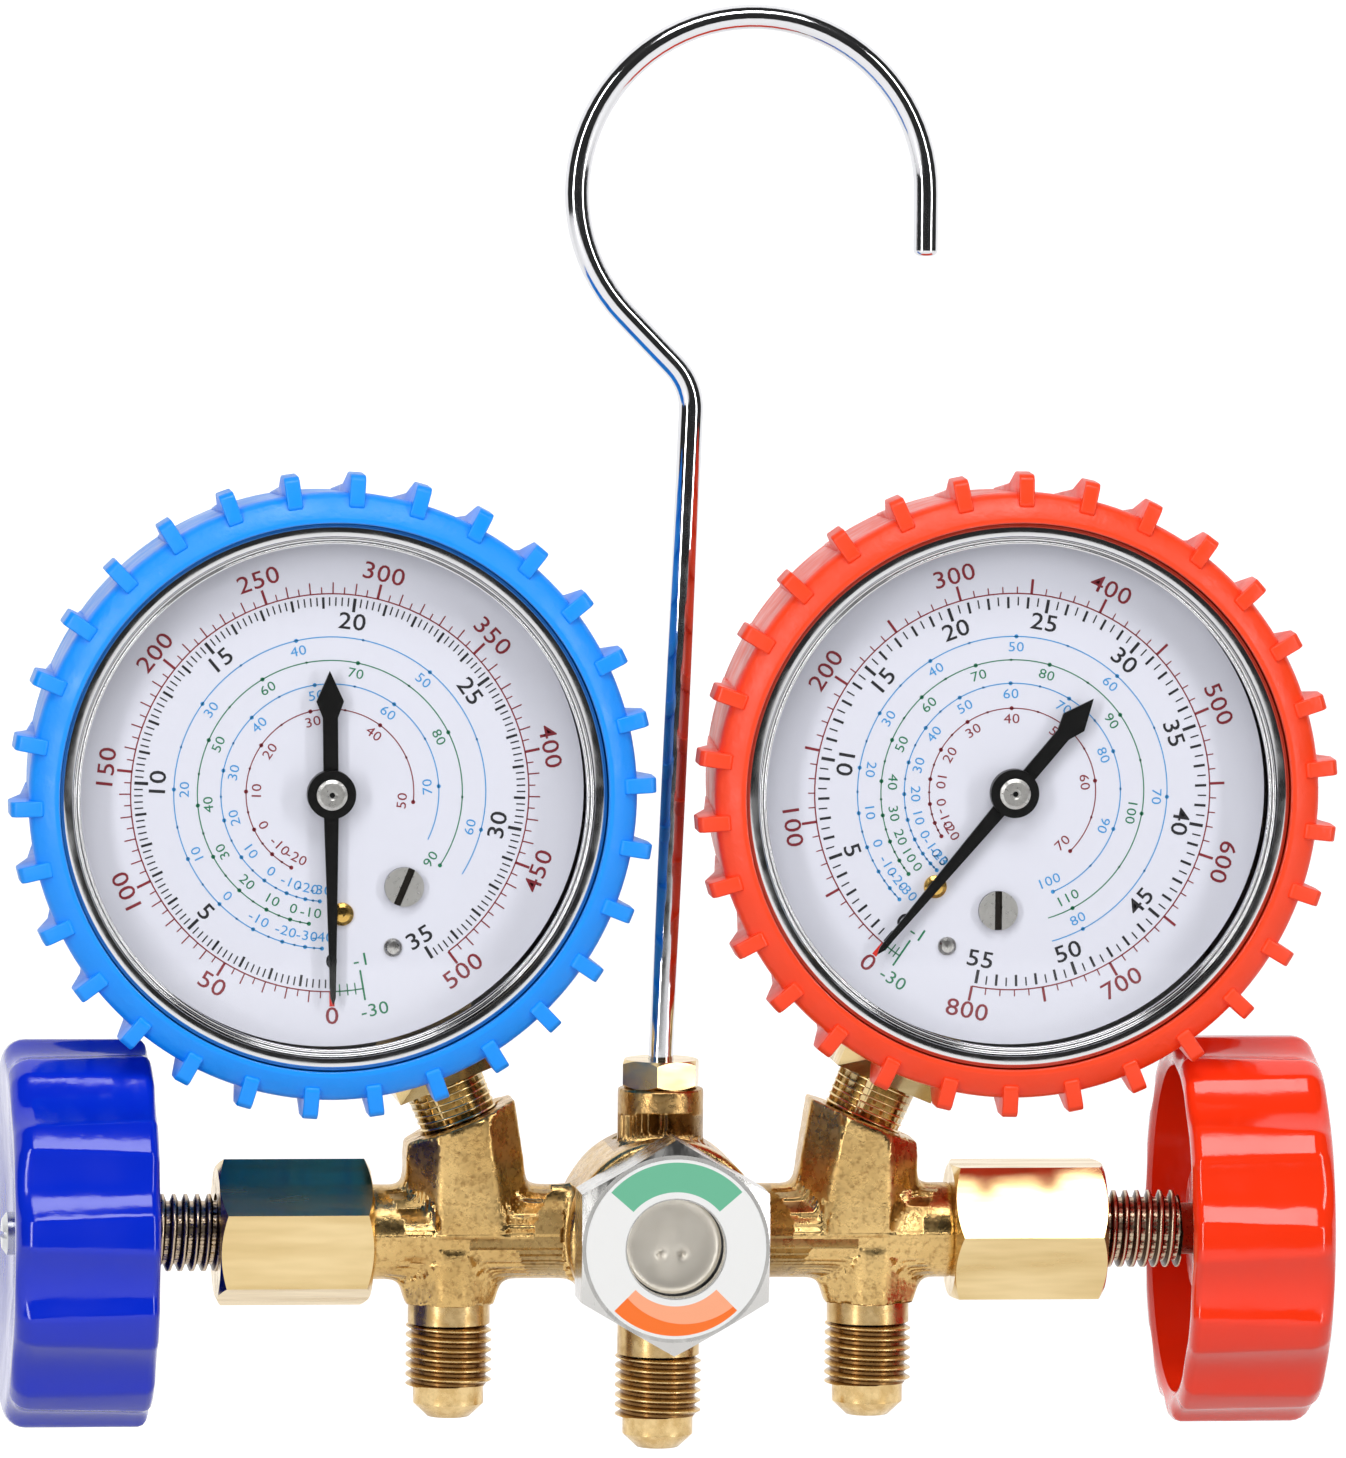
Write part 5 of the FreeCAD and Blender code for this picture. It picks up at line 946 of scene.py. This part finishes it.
def ring_profile():
    """The section of the front ring: a skirt over the rim, a flat with a round edge and two beads."""
    points = [(34.3, 9.0), (34.9, 9.0)] + RING_EDGE
    for middle, half, foot, top in RING_BEADS:
        for step in range(BEAD_STEPS + 1):
            turn = math.pi * step / BEAD_STEPS
            points.append((middle + half * math.cos(turn), foot + (top - foot) * math.sin(turn)))
    return points + [(32.2, 15.02), (34.3, 15.02), (34.3, 9.0)]


polished = Paint("polished steel", (0.70, 0.70, 0.71), roughness=0.08, metallic=1.0)
polished.uneven_gloss(260.0, 0.05, 0.14, 2.0)
node_paint("sight_glass", glass)
for side_name, side in SIDES.items():
    node_paint(side_name + "_lens", glass)
    node_paint(side_name + "_lens_gasket", black_rubber)
    ring = turned(ring_profile(), 160)
    ring.name = side_name + "_front_ring"
    placed(ring, gauge_matrix(side) @ UPRIGHT)
    smooth_by(ring, 25)
    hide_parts(side_name + "_bezel")
    finished(ring, polished, "manifold")

# Each gauge wears a moulded rubber boot, blue for suction and red for pressure. Its thirty ribs
# start on the sloping front, stand out over the rim and taper off towards the back.
BOOT_PROFILE = [(34.95, 16.1), (34.95, 16.7), (35.1, 16.93), (35.4, 17.0), (35.7, 16.95), (38.0, 15.55),
                (38.5, 15.1), (38.72, 14.4), (38.7, 13.6), (37.05, -10.8), (36.7, -11.8), (35.8, -12.2),
                (30.3, -12.2), (30.0, -11.9), (30.0, -10.5), (34.1, -10.5), (34.1, 8.9), (35.05, 8.9),
                (35.05, 16.1), (34.95, 16.1)]
RIB_OUTLINE = [(36.6, 14.4), (36.95, 16.25), (37.4, 16.5), (40.6, 15.9), (41.12, 15.3), (41.12, 11.0),
               (39.2, 5.5), (37.3, -9.6), (36.0, -9.8), (36.4, 10.0)]
RIB_WIDTH = 2.0
RIB_ROUNDING = 0.55
RIB_COUNT = 30
RIB_PHASE = -2.4
STEM_HOLE = 8.6
STEM_HOLE_DOWN = 36.0


def rib():
    """One rib, drawn from the side, thickened and rounded; the gauge's stem direction is -Z."""
    made = drawn(RIB_OUTLINE)
    bpy.ops.mesh.edge_face_add()
    bpy.ops.mesh.extrude_region_move(TRANSFORM_OT_translate={"value": (0, RIB_WIDTH * MM, 0)})
    bpy.ops.mesh.select_all(action="SELECT")
    bpy.ops.mesh.normals_make_consistent(inside=False)
    bpy.ops.object.mode_set(mode="OBJECT")
    bpy.ops.object.modifier_add(type="BEVEL")
    made.modifiers[-1].width = RIB_ROUNDING * MM
    made.modifiers[-1].segments = 4
    bpy.ops.object.modifier_apply(modifier=made.modifiers[-1].name)
    return placed(made, UPRIGHT @ Matrix.Translation((0, -RIB_WIDTH / 2 * MM, 0)))


def boot():
    """The skin is turned and pierced for the stem; the ribs are copies of one."""
    skin = placed(turned(BOOT_PROFILE, 180), UPRIGHT)
    bpy.ops.mesh.primitive_cube_add(size=2 * STEM_HOLE * MM, location=(0, 0, -STEM_HOLE_DOWN * MM))
    cutter = bpy.context.object
    picked(skin)
    bpy.ops.object.modifier_add(type="BOOLEAN")
    skin.modifiers[-1].object = cutter
    skin.modifiers[-1].operation = "DIFFERENCE"
    bpy.ops.object.modifier_apply(modifier=skin.modifiers[-1].name)
    bpy.data.objects.remove(cutter)
    first = rib()
    pieces = [skin]
    for number in range(RIB_COUNT):
        copy = first.copy()
        copy.data = first.data.copy()
        bpy.context.collection.objects.link(copy)
        placed(copy, Matrix.Rotation(math.radians(90 - RIB_PHASE - 360.0 * number / RIB_COUNT), 4, "Y"))
        pieces.append(copy)
    bpy.data.objects.remove(first)
    return joined(pieces, "boot")


blue_rubber = Paint("blue boot", (0.002, 0.29, 0.97), roughness=0.4)
red_rubber = Paint("red boot", (0.95, 0.055, 0.008), roughness=0.4)
for rubber in (blue_rubber, red_rubber):
    flow = rubber.noise(220.0, 3.0)
    rubber.gloss(rubber.clamp(flow, 0.3, 0.7, 0.3, 0.5))
    rubber.relief(rubber.noise(900.0, 3.0) * 0.6 + flow, 0.1 * MM)
for side_name, paint, slot in (("low", blue_rubber, "boot_blue"), ("high", red_rubber, "boot_red")):
    rubber_boot = placed(boot(), gauge_matrix(SIDES[side_name]))
    rubber_boot.name = side_name + "_rubber_boot"
    smooth_by(rubber_boot, 40)
    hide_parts(side_name + "_boot")
    finished(rubber_boot, paint, "manifold")
